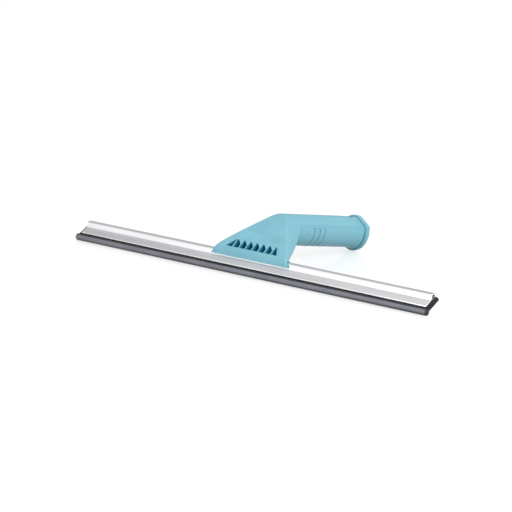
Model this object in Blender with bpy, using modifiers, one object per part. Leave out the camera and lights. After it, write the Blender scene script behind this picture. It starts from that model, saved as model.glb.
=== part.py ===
"""Window squeegee with a pole-socket handle.

An extruded aluminium rail holds a rubber blade.  A moulded handle grips the rail between a saddle
and a clamp plate, and its flared end takes the tip of a pole, which a sprung button lets go again.

Frame: metres, +X along the blade, +Y from the blade to the pole end, +Z up.  The squeegee lies as
it does on a table: the blade's nose and the bottom of the socket's collar touch Z = 0.  The origin
is on the table, under the middle of the whole object.
"""
import math

import bmesh
import bpy
from mathutils import Matrix, Vector

# ---------------------------------------------------------------- driving dimensions (metres)
CLEARANCE = 0.0003          # between pieces that seat on each other

# Rubber blade
BLADE_LENGTH = 0.450
NOSE_RADIUS = 0.0033
STRIP_THICKNESS = 0.0030
STRIP_DEPTH = 0.0146        # from the front of the rail's lip to the strip's back edge
BLADE_SLOPE = math.radians(31.0)

# Rail
RAIL_LENGTH = 0.444
RAIL_WALL = 0.0012
NOSE_LEAD = 0.0037          # nose centre ahead of the rail's lip, along the slope
LOWER_LIP_SETBACK = 0.0006
GROOVE_DEPTH_IN = 0.0085    # lip to the foot of the ridge, along the slope
RIDGE_HEIGHT = 0.0054
RIDGE_WIDTH = 0.0070
RIDGE_OVERHANG = 0.0012     # ridge's rear foot behind its width
RIDGE_FRONT_CORNER = Vector((0.0010, -0.0014))      # from the groove's foot and the ridge's top
RIDGE_FRONT_ROUND = Vector((0.0018, -0.0005))
RIDGE_CREST_FRONT = 0.0040
RIDGE_CREST_BACK = 0.0060
RIDGE_CREST_DROP = 0.0001
RIDGE_REAR_ROUND = Vector((-0.0007, -0.0012))       # from the rear foot and the ridge's top
RIDGE_REAR_DROP = 0.0026
RIDGE_SKIN = 0.0012         # metal over the ridge's hollow
HOLLOW_START = 0.0016       # behind the groove's foot, along the slope
HOLLOW_END = 0.0062
HOLLOW_LIFT = 0.0002        # above the rail's upper web
HOLLOW_CHAMFER = Vector((0.0004, 0.0003))
HOLLOW_SHOULDER = 0.0010
HOLLOW_REAR_LEAN = 0.0008

# Blade clips
CLIP_LENGTH = 0.012
CLIP_DEPTH = 0.0028
CLIP_INSET = 0.0015         # from the rail's end

# Handle, as a bar that slopes down to the pole end
HANDLE_REACH = 0.1521       # blade nose to the point where the collar touches the table
HANDLE_SLOPE = math.radians(10.0)
GRIP_HEIGHT = 0.0298
GRIP_HALF_WIDTH = 0.0153
CREASE_HEIGHT = 0.0216
CREASE_HALF_WIDTH = 0.0150
ROOF_FLAT_HALF = 0.0035
BELLY_HEIGHT = 0.0170       # height of the widest point above the underside
GRIP_LENGTH = 0.0967        # collar end face to the front of the lower shell
SHELL_WALL = 0.0022
PLUG_LENGTH = 0.0070
PLUG_HEIGHT = 0.0170

# Collar and pole socket
RIM_PROUD = 0.0030
RIM_ROOF_PROUD = 0.0015     # the rim stands less above the roof
CORNER_LIFT = 0.3           # of the growth, at the crease and at the roof's edge
RIM_LENGTH = 0.0045
FLANGE_THICKNESS = 0.0025
SOCKET_OUTER_RADIUS = 0.0106
SOCKET_MOUTH_RADIUS = 0.0093
SOCKET_BOTTOM_RADIUS = 0.0088
SOCKET_DEPTH = 0.054
SOCKET_FLOOR = 0.0018

# Head
FACE_TILT = math.radians(34.5)
FACE_FOOT_RISE = 0.0026     # above the rail at the foot of the ridge
FACE_FOOT_LEAD = 0.0006     # ahead of the foot of the ridge
FACE_KNEE_RISE = 0.0075     # knee above the foot
FACE_KNEE_BACK = 0.0015
HEAD_FOOT_HALF = 0.0495
HEAD_KNEE_HALF = 0.0450
HEAD_TOP_HALF = 0.0063
FOLD_CURVE = 1.13
BAND_ROWS = ((0.0, 0.0), (0.35, 0.0010), (0.70, 0.0010))    # share up the band, forward bulge
BAND_DROP = 0.0040          # side strips' rear edge at the foot, below its place at the knee
BAND_LEAN = 0.25            # of the band's inner side, at the knee
BEND_ROWS = (0.35, 0.70, 1.0)
STRIP_BEND_START = 0.82     # share of the side strips' rear edge that the bend begins at
STRIP_FOOT_BACK = 0.0054    # side strip's rear edge at the knee, behind the groove's foot
STRIP_FOOT_RISE = 0.0010    # and above the ridge's top
STRIP_FOOT_INSET = 0.0005
STRIP_BOW_SHARE = 0.61      # how far back along that edge its bow is
STRIP_BOW_DROP = 0.0021
SIDE_LEAN = 0.8             # cosine of the side strips' and grip walls' lean
INNER_FOLD_SHARE = 0.45     # most that the inner fold moves towards the middle
BEND_RADIUS = 0.0080
STRIP_TOP_BACK = 0.0967     # collar end face to the top of the side strips' rear edge
STRIP_BOW_HALF = 0.0278
HEAD_ROWS = 8

# Window in the face
CELL_COUNT = 8
CELL_PITCH = 0.00815
RIB_THICKNESS = 0.0012
WINDOW_HEIGHT = 0.0095
WINDOW_FOOT = 0.0008        # above the knee, along the face
WINDOW_TAPER = 0.0060       # how much less the half width is at the top
GRILLE_DEPTH = 0.0036
GRILLE_BORDER = 0.0014

# Clamp
CLAMP_HALF_WIDTH = 0.030
CLAMP_THICKNESS = 0.0020
CLAMP_FRONT = 0.0050        # from the rail's lip, along the slope
CLAMP_OUTER_BEND = 0.0022   # behind the rail's rear corner
CLAMP_INNER_BEND = 0.0012
SADDLE_BACK = 0.0322        # blade nose to the saddle's rear face
SADDLE_FRONT_HALF = 0.0325
SADDLE_REAR_HALF = 0.0215
SADDLE_UNDERSIDE = 0.0132
SADDLE_STEP = 0.0117        # knee to the step behind the grille
CLAMP_SCREW_RADIUS = 0.0018
CLAMP_SCREW_HEAD_RADIUS = 0.0035
CLAMP_SCREW_HEAD_HEIGHT = 0.0022
CLAMP_SCREW_LENGTH = 0.0120      # of its bore; the screw ends short of it
CLAMP_SCREW_SHORT = 0.0030
CLAMP_SCREW_SPREAD = 0.0140
CLAMP_SCREW_BACK = 0.0268

SCREW_CHAMFER = 0.35        # of the shaft's radius, or of the head's height
SCREW_FACE = 0.75           # of the head's radius

# Screws that join the two shells
SHELL_SCREW_RADIUS = 0.0015
SHELL_SCREW_HEAD_RADIUS = 0.0030
SHELL_SCREW_HEAD_HEIGHT = 0.0020
SHELL_SCREW_LENGTH = 0.0170
SHELL_SCREW_RECESS = 0.0016
SHELL_BOSS_RADIUS = 0.0048
SHELL_BOSS_SPLIT = 0.0090
SHELL_SCREW_STATIONS = {"shell_screw_front": 0.083, "shell_screw_rear": 0.065}

# Release button
BUTTON_WINDOW_START = 0.0090    # from the collar end face
BUTTON_WINDOW_LENGTH = 0.0130
BUTTON_HALF_WIDTH = 0.0038
BUTTON_LENGTH = 0.0093
BUTTON_SUNK = 0.0011            # below the roof
BUTTON_FLANGE_HALF = 0.0026
BUTTON_ROOF_GAP = 0.0008
BUTTON_FLANGE_THICKNESS = 0.0010
BUTTON_FLANGE_LAP = 0.0016
STUD_RADIUS = 0.0015
SPRING_WIRE = 0.0003        # radius of its wire
SPRING_POINTS = 16
SPRING_RADIUS = 0.0027

CUT_PAST = 0.0040           # how far a cutter runs past what it cuts
ROUND_STEPS = 24
ARC_STEPS = 8

# ---------------------------------------------------------------- worked-out places
NOSE_CENTRE = Vector((0.0, NOSE_RADIUS))
SLOPE = Vector((math.cos(BLADE_SLOPE), math.sin(BLADE_SLOPE)))
SQUARE = Vector((-math.sin(BLADE_SLOPE), math.cos(BLADE_SLOPE)))
STRIP_TOP = RAIL_WALL + CLEARANCE
CHANNEL_HEIGHT = STRIP_THICKNESS + 2 * CLEARANCE
RAIL_DROP = 2 * RAIL_WALL + CHANNEL_HEIGHT
LIP = NOSE_CENTRE + NOSE_LEAD * SLOPE + (STRIP_TOP + STRIP_THICKNESS / 2) * SQUARE

UPRIGHT = Vector((0.0, 0.0, 1.0))
AXIS = Vector((0.0, math.cos(HANDLE_SLOPE), -math.sin(HANDLE_SLOPE)))
RISE = Vector((0.0, math.sin(HANDLE_SLOPE), math.cos(HANDLE_SLOPE)))
GRIP_FOOT = Vector((0.0, HANDLE_REACH, 0.0)) + RIM_PROUD * RISE
SOCKET_HEIGHT = SHELL_WALL + CLEARANCE + SOCKET_OUTER_RADIUS

REAR_Y = (GRIP_FOOT + (GRIP_HEIGHT + RIM_ROOF_PROUD) * RISE).y
MIDDLE_Y = (REAR_Y - NOSE_RADIUS) / 2

MOUTH_X = RAIL_LENGTH / 2
FACE_UP = Vector((0.0, math.cos(FACE_TILT), math.sin(FACE_TILT)))
FACE_IN = Vector((0.0, math.sin(FACE_TILT), -math.cos(FACE_TILT)))


def on_slope(along, square):
    """Point of the rail's section: along the blade's slope from the lip, and square to it."""
    return LIP + along * SLOPE + square * SQUARE


def on_handle(across, back, height):
    """Point of the handle: across it, back from the collar's end face, above the underside."""
    return Vector((across, 0.0, 0.0)) + GRIP_FOOT - back * AXIS + height * RISE


GROOVE = on_slope(GROOVE_DEPTH_IN, 0.0)
RIDGE_TOP = GROOVE.y + RIDGE_HEIGHT
FOOT = Vector((0.0, GROOVE.x - FACE_FOOT_LEAD, GROOVE.y + FACE_FOOT_RISE))
KNEE = FOOT + Vector((0.0, FACE_KNEE_BACK, FACE_KNEE_RISE))


# ---------------------------------------------------------------- scene and materials
def clear_scene():
    for item in list(bpy.data.objects):
        bpy.data.objects.remove(item, do_unlink=True)


def make_collection(name):
    collection = bpy.data.collections.new(name)
    bpy.context.scene.collection.children.link(collection)
    return collection


def make_material(name, colour, roughness, metallic):
    material = bpy.data.materials.new(name)
    material.use_nodes = True
    shader = material.node_tree.nodes["Principled BSDF"]
    shader.inputs["Base Color"].default_value = (*colour, 1.0)
    shader.inputs["Roughness"].default_value = roughness
    shader.inputs["Metallic"].default_value = metallic
    return material


clear_scene()
PARTS = make_collection("window_squeegee")
CUTTERS = make_collection("cutters")
PLASTIC = (0.24, 0.53, 0.62)
STEEL = (0.55, 0.56, 0.58)


# ---------------------------------------------------------------- making solids
def arc(centre, radius, start, end, steps):
    """Points of an arc in a plane; the angles are in degrees."""
    points = []
    for step in range(steps + 1):
        angle = math.radians(start + (end - start) * step / steps)
        points.append(Vector((centre[0] + radius * math.cos(angle),
                              centre[1] + radius * math.sin(angle))))
    return points


def new_object(name, mesh, collection=PARTS):
    piece = bpy.data.objects.new(name, mesh)
    collection.objects.link(piece)
    return piece


def extruded(name, outlines, length, frame, collection=PARTS):
    """A flat outline, with any holes in it, made solid: the frame's Z is the length."""
    curve = bpy.data.curves.new(name, "CURVE")
    curve.dimensions = "2D"
    curve.fill_mode = "BOTH"
    curve.extrude = length / 2
    for outline in outlines:
        spline = curve.splines.new("POLY")
        spline.points.add(len(outline) - 1)
        for point, spot in zip(spline.points, outline):
            point.co = (spot[0], spot[1], 0.0, 1.0)
        spline.use_cyclic_u = True
    holder = new_object(name + "_outline", curve, collection)
    bpy.context.view_layer.update()
    seen = holder.evaluated_get(bpy.context.evaluated_depsgraph_get())
    mesh = bpy.data.meshes.new_from_object(seen)
    bpy.data.objects.remove(holder, do_unlink=True)
    weld(mesh)
    mesh.transform(frame)
    return new_object(name, mesh, collection)


def weld(mesh):
    """Join the caps to the walls and turn every face outwards."""
    shape = bmesh.new()
    shape.from_mesh(mesh)
    bmesh.ops.remove_doubles(shape, verts=shape.verts, dist=0.000002)
    bmesh.ops.recalc_face_normals(shape, faces=shape.faces)
    shape.to_mesh(mesh)
    shape.free()


def frame_from(x_axis, y_axis, origin):
    """A placing matrix whose X and Y run along the two given directions."""
    z_axis = x_axis.cross(y_axis)
    matrix = Matrix.Identity(4)
    for column, axis in enumerate((x_axis, y_axis, z_axis)):
        matrix.col[column].xyz = axis
    matrix.translation = origin
    return matrix


def section_frame(x_middle=0.0):
    """Outlines drawn in Y and Z, extruded along X."""
    return frame_from(Vector((0, 1, 0)), Vector((0, 0, 1)), Vector((x_middle, 0, 0)))


def grip_frame(back_middle):
    """Outlines drawn across the handle and up it, extruded along its axis."""
    return frame_from(Vector((1, 0, 0)), RISE, on_handle(0.0, back_middle, 0.0))


def turned(name, profile, foot, direction, collection=PARTS):
    """A turned solid: (radius, height) points from the top down, set up along a direction."""
    mesh = bpy.data.meshes.new(name)
    spots = [(radius, 0.0, height) for radius, height in profile]
    edges = [(index, index + 1) for index in range(len(spots) - 1)]
    mesh.from_pydata(spots, edges, [])
    piece = new_object(name, mesh, collection)
    screw = piece.modifiers.new("turn", "SCREW")
    screw.steps = ROUND_STEPS
    screw.render_steps = ROUND_STEPS
    screw.use_merge_vertices = True
    screw.merge_threshold = 0.00001
    turn = direction.to_track_quat("Z", "Y").to_matrix().to_4x4()
    return settled(piece, Matrix.Translation(foot) @ turn)


def settled(piece, frame=None):
    """Apply a piece's modifiers, place it, and leave it at the origin as a plain mesh."""
    bpy.context.view_layer.update()
    seen = piece.evaluated_get(bpy.context.evaluated_depsgraph_get())
    mesh = bpy.data.meshes.new_from_object(seen)
    if frame is not None:
        mesh.transform(frame)
    weld(mesh)
    piece.modifiers.clear()
    piece.data = mesh
    return piece


def combine(piece, other, operation):
    """Join to, cut by or keep the part shared with another solid, which is then a cutter."""
    other.hide_render = True
    other.display_type = "WIRE"
    boolean = piece.modifiers.new(operation.lower(), "BOOLEAN")
    boolean.operation = operation
    boolean.solver = "EXACT"
    boolean.object = other
    bpy.context.view_layer.update()
    seen = piece.evaluated_get(bpy.context.evaluated_depsgraph_get())
    mesh = bpy.data.meshes.new_from_object(seen)
    piece.modifiers.clear()
    piece.data = mesh
    return piece


def finish_piece(piece, colour, roughness, metallic):
    """Give a piece its own material and smooth its round sides."""
    piece.data.materials.clear()
    piece.data.materials.append(make_material(piece.name, colour, roughness, metallic))
    piece.data.shade_smooth()
    piece.data.set_sharp_from_angle(angle=math.radians(30))
    return piece


def tilted_box(name, low, high, collection=CUTTERS):
    """A block in the handle's own directions; low and high are (across, back, height)."""
    mesh = bpy.data.meshes.new(name)
    shape = bmesh.new()
    bmesh.ops.create_cube(shape, size=1.0)
    size = [top - bottom for bottom, top in zip(low, high)]
    middle = [(top + bottom) / 2 for bottom, top in zip(low, high)]
    bmesh.ops.scale(shape, vec=size, verts=shape.verts)
    shape.to_mesh(mesh)
    shape.free()
    mesh.transform(frame_from(Vector((1, 0, 0)), -AXIS, on_handle(*middle)))
    weld(mesh)
    return new_object(name, mesh, collection)


# ---------------------------------------------------------------- rail and blade sections
def rail_outline(grow=0.0):
    """The rail's outside, with the channel open to the front; grow makes it a seat for others."""
    front = Vector((GROOVE.x, RIDGE_TOP))
    rear = Vector((GROOVE.x + RIDGE_WIDTH + RIDGE_OVERHANG, RIDGE_TOP))
    outline = [
        on_slope(-grow, -RAIL_WALL - grow),
        on_slope(-grow, grow),
        on_slope(GROOVE_DEPTH_IN - grow, grow),
        front + RIDGE_FRONT_CORNER + Vector((-grow, 0.0)),
        front + RIDGE_FRONT_ROUND + Vector((-grow / 2, grow / 2)),
        front + Vector((RIDGE_CREST_FRONT, grow)),
        front + Vector((RIDGE_CREST_BACK, grow - RIDGE_CREST_DROP)),
        rear + RIDGE_REAR_ROUND + Vector((grow / 2, grow / 2)),
        rear + Vector((grow, -RIDGE_REAR_DROP)),
        on_slope(STRIP_DEPTH + CLEARANCE + RAIL_WALL + grow, -RAIL_DROP - grow),
        on_slope(LOWER_LIP_SETBACK - grow, -RAIL_DROP - grow),
    ]
    if grow > 0:
        return outline
    channel_end = STRIP_DEPTH + CLEARANCE
    channel_floor = -RAIL_WALL - CHANNEL_HEIGHT
    return outline + [
        on_slope(LOWER_LIP_SETBACK, channel_floor),
        on_slope(channel_end, channel_floor),
        on_slope(channel_end, -RAIL_WALL),
    ]


def ridge_hollow():
    """The hollow that runs the length of the ridge."""
    floor_front = on_slope(GROOVE_DEPTH_IN + HOLLOW_START, HOLLOW_LIFT)
    floor_back = on_slope(GROOVE_DEPTH_IN + HOLLOW_END, HOLLOW_LIFT)
    ceiling = RIDGE_TOP - RIDGE_SKIN
    return [
        floor_front,
        Vector((floor_front.x + HOLLOW_CHAMFER.x, ceiling - HOLLOW_CHAMFER.y)),
        Vector((floor_front.x + HOLLOW_SHOULDER, ceiling)),
        Vector((floor_back.x - HOLLOW_REAR_LEAN, ceiling)),
        floor_back,
    ]


def blade_outline():
    """The rubber's section: a round nose and a flat strip behind it."""
    half = STRIP_THICKNESS / 2
    meet = math.degrees(math.asin(half / NOSE_RADIUS))
    lean = math.degrees(BLADE_SLOPE)
    nose = arc(NOSE_CENTRE, NOSE_RADIUS, lean + meet, lean + 360 - meet, 2 * ARC_STEPS)
    return nose + [on_slope(STRIP_DEPTH, -STRIP_TOP - STRIP_THICKNESS),
                   on_slope(STRIP_DEPTH, -STRIP_TOP)]


def make_rail():
    rail = extruded("rail", [rail_outline(), ridge_hollow()], RAIL_LENGTH, section_frame())
    return finish_piece(rail, (0.78, 0.79, 0.80), 0.22, 1.0)


def clip_outline(grow=0.0, past=0.0):
    """The clip's section, at the back of the rubber's strip and across its thickness."""
    front = STRIP_DEPTH - CLIP_DEPTH - grow
    back = STRIP_DEPTH + past
    top = -STRIP_TOP + past
    bottom = -STRIP_TOP - STRIP_THICKNESS - past
    return [on_slope(front, bottom), on_slope(back, bottom),
            on_slope(back, top), on_slope(front, top)]


def make_blade_and_clips():
    """The rubber, and the steel clip that pinches it in the channel near each end."""
    blade = extruded("rubber_blade", [blade_outline()], BLADE_LENGTH, section_frame())
    clips = []
    for side, name in ((-1, "blade_clip_left"), (1, "blade_clip_right")):
        middle = side * (MOUTH_X - CLIP_INSET - CLIP_LENGTH / 2)
        room = extruded(name + "_room", [clip_outline(CLEARANCE, RAIL_WALL)],
                        CLIP_LENGTH + 2 * CLEARANCE, section_frame(middle), CUTTERS)
        combine(blade, room, "DIFFERENCE")
        clip = extruded(name, [clip_outline()], CLIP_LENGTH, section_frame(middle))
        clips.append(finish_piece(clip, STEEL, 0.3, 1.0))
    finish_piece(blade, (0.045, 0.045, 0.050), 0.45, 0.0)
    return blade, clips


# ---------------------------------------------------------------- handle sections
def grip_outline(grow=0.0, floor_only=False, roof_grow=None):
    """The grip's outside across the handle; the rim is the same outline grown outwards."""
    belly = arc((0.0, 0.0), 1.0, 0, -180, 2 * ARC_STEPS)
    lower = [Vector(((GRIP_HALF_WIDTH + grow) * spot.x,
                     BELLY_HEIGHT + (BELLY_HEIGHT + grow) * spot.y)) for spot in belly]
    if floor_only:
        return lower
    if roof_grow is None:
        roof_grow = grow
    crease = Vector((CREASE_HALF_WIDTH + grow, CREASE_HEIGHT + grow * CORNER_LIFT))
    flat = Vector((ROOF_FLAT_HALF + grow * CORNER_LIFT, GRIP_HEIGHT + roof_grow))
    left = [Vector((-crease.x, crease.y)), Vector((-flat.x, flat.y))]
    return lower + left + [flat, crease]


def fold_half_width(share):
    """Half width of the face between its two fold lines, from the knee to the top."""
    return HEAD_KNEE_HALF + (HEAD_TOP_HALF - HEAD_KNEE_HALF) * share ** FOLD_CURVE


def quadratic(start, middle, end, share):
    """Point of a curve that passes through middle half way along."""
    pull = 2 * middle - (start + end) / 2
    return start * (1 - share) ** 2 + pull * 2 * share * (1 - share) + end * share ** 2


def roof_corner():
    """Where the face's plane meets the roof's line."""
    roof = on_handle(0.0, 0.0, GRIP_HEIGHT)
    gap = roof - KNEE
    cross = FACE_UP.y * AXIS.z - FACE_UP.z * AXIS.y
    reach = (gap.y * AXIS.z - gap.z * AXIS.y) / cross
    return KNEE + reach * FACE_UP, reach


def head_rows():
    """Outer and inner points of the upper shell's right half, from the head's foot to the collar.

    A row is the middle, the fold and the free edge of the outside, then the same of the inside.
    """
    corner, reach = roof_corner()
    side = SHELL_WALL / SIDE_LEAN
    x_axis = Vector((1.0, 0.0, 0.0))
    free_top = on_handle(CREASE_HALF_WIDTH, STRIP_TOP_BACK, CREASE_HEIGHT)
    free_foot = Vector((HEAD_KNEE_HALF - STRIP_FOOT_INSET, GROOVE.x + STRIP_FOOT_BACK,
                        RIDGE_TOP + STRIP_FOOT_RISE))
    bow = Vector((STRIP_BOW_HALF, free_foot.y + (free_top.y - free_foot.y) * STRIP_BOW_SHARE,
                  (free_top.z + free_foot.z) / 2 - STRIP_BOW_DROP))
    rows = []

    def add(fold, free, inward):
        middle = Vector((0.0, fold.y, fold.z))
        inner_fold = fold + inward * SHELL_WALL - x_axis * min(side, fold.x * INNER_FOLD_SHARE)
        inner_middle = Vector((0.0, inner_fold.y, inner_fold.z))
        rows.append((middle, fold, free, inner_middle, inner_fold, free - x_axis * side))

    for share, bulge in BAND_ROWS:
        spot = FOOT + (KNEE - FOOT) * share - Vector((0.0, bulge, 0.0))
        half = HEAD_FOOT_HALF + (HEAD_KNEE_HALF - HEAD_FOOT_HALF) * share
        drop = Vector((0.0, 0.0, (1 - share) * BAND_DROP))
        flat_in = Vector((0.0, 1.0, -BAND_LEAN * share))
        add(x_axis * half + spot, free_foot - drop, flat_in)
    face_end = reach - BEND_RADIUS * math.tan((FACE_TILT + HANDLE_SLOPE) / 2)
    for row in range(HEAD_ROWS):
        share = row / (HEAD_ROWS - 1)
        along = share * face_end
        spot = KNEE + along * FACE_UP
        half = fold_half_width(along / reach)
        free = quadratic(free_foot, bow, free_top, share * STRIP_BEND_START)
        add(x_axis * half + spot, free, FACE_IN)
    bend_from = corner - (reach - face_end) * FACE_UP
    bend_to = corner + (reach - face_end) * AXIS
    last_half = fold_half_width(face_end / reach)
    for share in BEND_ROWS:
        spot = quadratic(bend_from, (bend_from + bend_to + 2 * corner) / 4, bend_to, share)
        half = last_half + (ROOF_FLAT_HALF - last_half) * math.sqrt(share)
        free = quadratic(free_foot, bow, free_top,
                         STRIP_BEND_START + (1 - STRIP_BEND_START) * share)
        inward = FACE_IN.lerp(-RISE, share).normalized()
        add(x_axis * half + spot, free, inward)
    roof_end = on_handle(0.0, FLANGE_THICKNESS + CLEARANCE, GRIP_HEIGHT)
    edge_end = on_handle(CREASE_HALF_WIDTH, FLANGE_THICKNESS + CLEARANCE, CREASE_HEIGHT)
    add(x_axis * ROOF_FLAT_HALF + roof_end, edge_end, -RISE)
    return rows


def loft_half(name, rows):
    """Close the right half of the shell between its rows, and mirror it to the left."""
    shape = bmesh.new()
    grid = [[shape.verts.new(spot) for spot in row] for row in rows]
    middle, fold, free, inner_middle, inner_fold, inner_free = range(6)
    bands = ((middle, fold), (fold, free), (free, inner_free),
             (inner_free, inner_fold), (inner_fold, inner_middle))
    for near, far in zip(grid, grid[1:]):
        for first, second in bands:
            shape.faces.new((near[first], near[second], far[second], far[first]))
    for row in (grid[0], grid[-1]):
        shape.faces.new((row[middle], row[fold], row[inner_fold], row[inner_middle]))
        shape.faces.new((row[fold], row[free], row[inner_free], row[inner_fold]))
    bmesh.ops.recalc_face_normals(shape, faces=shape.faces)
    mesh = bpy.data.meshes.new(name)
    shape.to_mesh(mesh)
    shape.free()
    piece = new_object(name, mesh)
    mirror = piece.modifiers.new("left_half", "MIRROR")
    mirror.use_mirror_merge = True
    mirror.merge_threshold = 0.00001
    return settled(piece)


def face_frame(depth_middle):
    """Outlines drawn across the face and up it from the knee, extruded into it."""
    origin = KNEE + FACE_IN * depth_middle
    return frame_from(Vector((1, 0, 0)), FACE_UP, origin)


def window_half_width(up, border=0.0):
    """Half width of the window at a height above its foot."""
    widest = CELL_COUNT * CELL_PITCH / 2
    return widest - WINDOW_TAPER * up / WINDOW_HEIGHT + border


def add_grille(shell):
    """Thicken the face round the window, then cut its cells and leave the ribs between them."""
    low = -GRILLE_BORDER
    high = WINDOW_HEIGHT + GRILLE_BORDER
    border = [(side * window_half_width(up, GRILLE_BORDER), WINDOW_FOOT + up)
              for side, up in ((-1, low), (1, low), (1, high), (-1, high))]
    skin = SHELL_WALL / 2
    backing = extruded("grille_backing", [border], GRILLE_DEPTH - skin,
                       face_frame((GRILLE_DEPTH + skin) / 2), CUTTERS)
    combine(shell, backing, "UNION")
    widest = window_half_width(0.0)
    narrowest = window_half_width(WINDOW_HEIGHT)
    for cell in range(CELL_COUNT):
        left = -widest + cell * CELL_PITCH
        right = left + CELL_PITCH
        if cell > 0:
            left += RIB_THICKNESS / 2
        if cell < CELL_COUNT - 1:
            right -= RIB_THICKNESS / 2
        top_left = max(left, -narrowest)
        top_right = min(right, narrowest)
        outline = [(left, WINDOW_FOOT), (right, WINDOW_FOOT),
                   (top_right, WINDOW_FOOT + WINDOW_HEIGHT),
                   (top_left, WINDOW_FOOT + WINDOW_HEIGHT)]
        cutter = extruded("cell_cutter_%d" % cell, [outline], 4 * GRILLE_DEPTH,
                          face_frame(0.0), CUTTERS)
        combine(shell, cutter, "DIFFERENCE")


def make_upper_shell():
    """Face, side strips and roof in one moulding, with bosses for the two shell screws."""
    shell = loft_half("upper_shell", head_rows())
    add_grille(shell)
    seat = extruded("rail_seat", [rail_outline(2 * CLEARANCE)], RAIL_LENGTH,
                    section_frame(), CUTTERS)
    combine(shell, seat, "DIFFERENCE")
    trough = tilted_box("trough_room", (-GRIP_HALF_WIDTH, -CLEARANCE, 0.0),
                        (GRIP_HALF_WIDTH, GRIP_LENGTH + CLEARANCE, CREASE_HEIGHT))
    combine(shell, trough, "DIFFERENCE")
    for name, back in SHELL_SCREW_STATIONS.items():
        top = GRIP_HEIGHT - SHELL_WALL / 2
        foot = SHELL_BOSS_SPLIT + CLEARANCE
        boss = turned(name + "_boss", rod(SHELL_BOSS_RADIUS, top - foot),
                      on_handle(0.0, back, foot), RISE, CUTTERS)
        combine(shell, boss, "UNION")
        bore_top = SHELL_SCREW_RECESS + SHELL_SCREW_LENGTH + SHELL_SCREW_HEAD_HEIGHT + 3 * CLEARANCE
        bore = turned(name + "_bore", rod(SHELL_SCREW_RADIUS + CLEARANCE, bore_top),
                      on_handle(0.0, back, 0.0), RISE, CUTTERS)
        combine(shell, bore, "DIFFERENCE")
    window = tilted_box(
        "button_window",
        (-BUTTON_HALF_WIDTH - CLEARANCE, BUTTON_WINDOW_START, GRIP_HEIGHT - 2 * SHELL_WALL),
        (BUTTON_HALF_WIDTH + CLEARANCE, BUTTON_WINDOW_START + BUTTON_WINDOW_LENGTH,
         GRIP_HEIGHT + SHELL_WALL))
    combine(shell, window, "DIFFERENCE")
    return finish_piece(shell, PLASTIC, 0.42, 0.0)


def rod(radius, length):
    """Profile of a plain cylinder, top to bottom."""
    return [(0.0, length), (radius, length), (radius, 0.0), (0.0, 0.0)]


def make_grip_shell():
    """The lower half of the grip: a trough with a closed front and two screw bosses."""
    side = SHELL_WALL / SIDE_LEAN
    lip = CREASE_HEIGHT - CLEARANCE
    inner = [Vector((spot.x, spot.y)) for spot in reversed(grip_outline(-SHELL_WALL, True))]
    section = grip_outline(0.0, True)
    section += [Vector((-CREASE_HALF_WIDTH, lip)), Vector((-CREASE_HALF_WIDTH + side, lip))]
    section += [spot for spot in inner if spot.y <= BELLY_HEIGHT]
    section += [Vector((CREASE_HALF_WIDTH - side, lip)), Vector((CREASE_HALF_WIDTH, lip))]
    start = FLANGE_THICKNESS + CLEARANCE
    length = GRIP_LENGTH - start
    shell = extruded("grip_shell", [section], length, grip_frame(start + length / 2))
    plug = [spot for spot in grip_outline(-SHELL_WALL / 2, True) if spot.y < PLUG_HEIGHT]
    nose = extruded("grip_nose", [plug], PLUG_LENGTH,
                    grip_frame(GRIP_LENGTH - PLUG_LENGTH / 2 - CLEARANCE), CUTTERS)
    combine(shell, nose, "UNION")
    for name, back in SHELL_SCREW_STATIONS.items():
        foot = SHELL_WALL / 2
        boss = turned(name + "_lower_boss", rod(SHELL_BOSS_RADIUS, SHELL_BOSS_SPLIT - foot),
                      on_handle(0.0, back, foot), RISE, CUTTERS)
        combine(shell, boss, "UNION")
        shaft = SHELL_SCREW_RADIUS + CLEARANCE
        head = SHELL_SCREW_HEAD_RADIUS + CLEARANCE
        seat = SHELL_SCREW_RECESS + SHELL_SCREW_HEAD_HEIGHT + CLEARANCE
        bore = turned(name + "_lower_bore",
                      [(0.0, CREASE_HEIGHT), (shaft, CREASE_HEIGHT), (shaft, seat), (head, seat),
                       (head, -CUT_PAST), (0.0, -CUT_PAST)],
                      on_handle(0.0, back, 0.0), RISE, CUTTERS)
        combine(shell, bore, "DIFFERENCE")
    return finish_piece(shell, PLASTIC, 0.42, 0.0)


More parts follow.
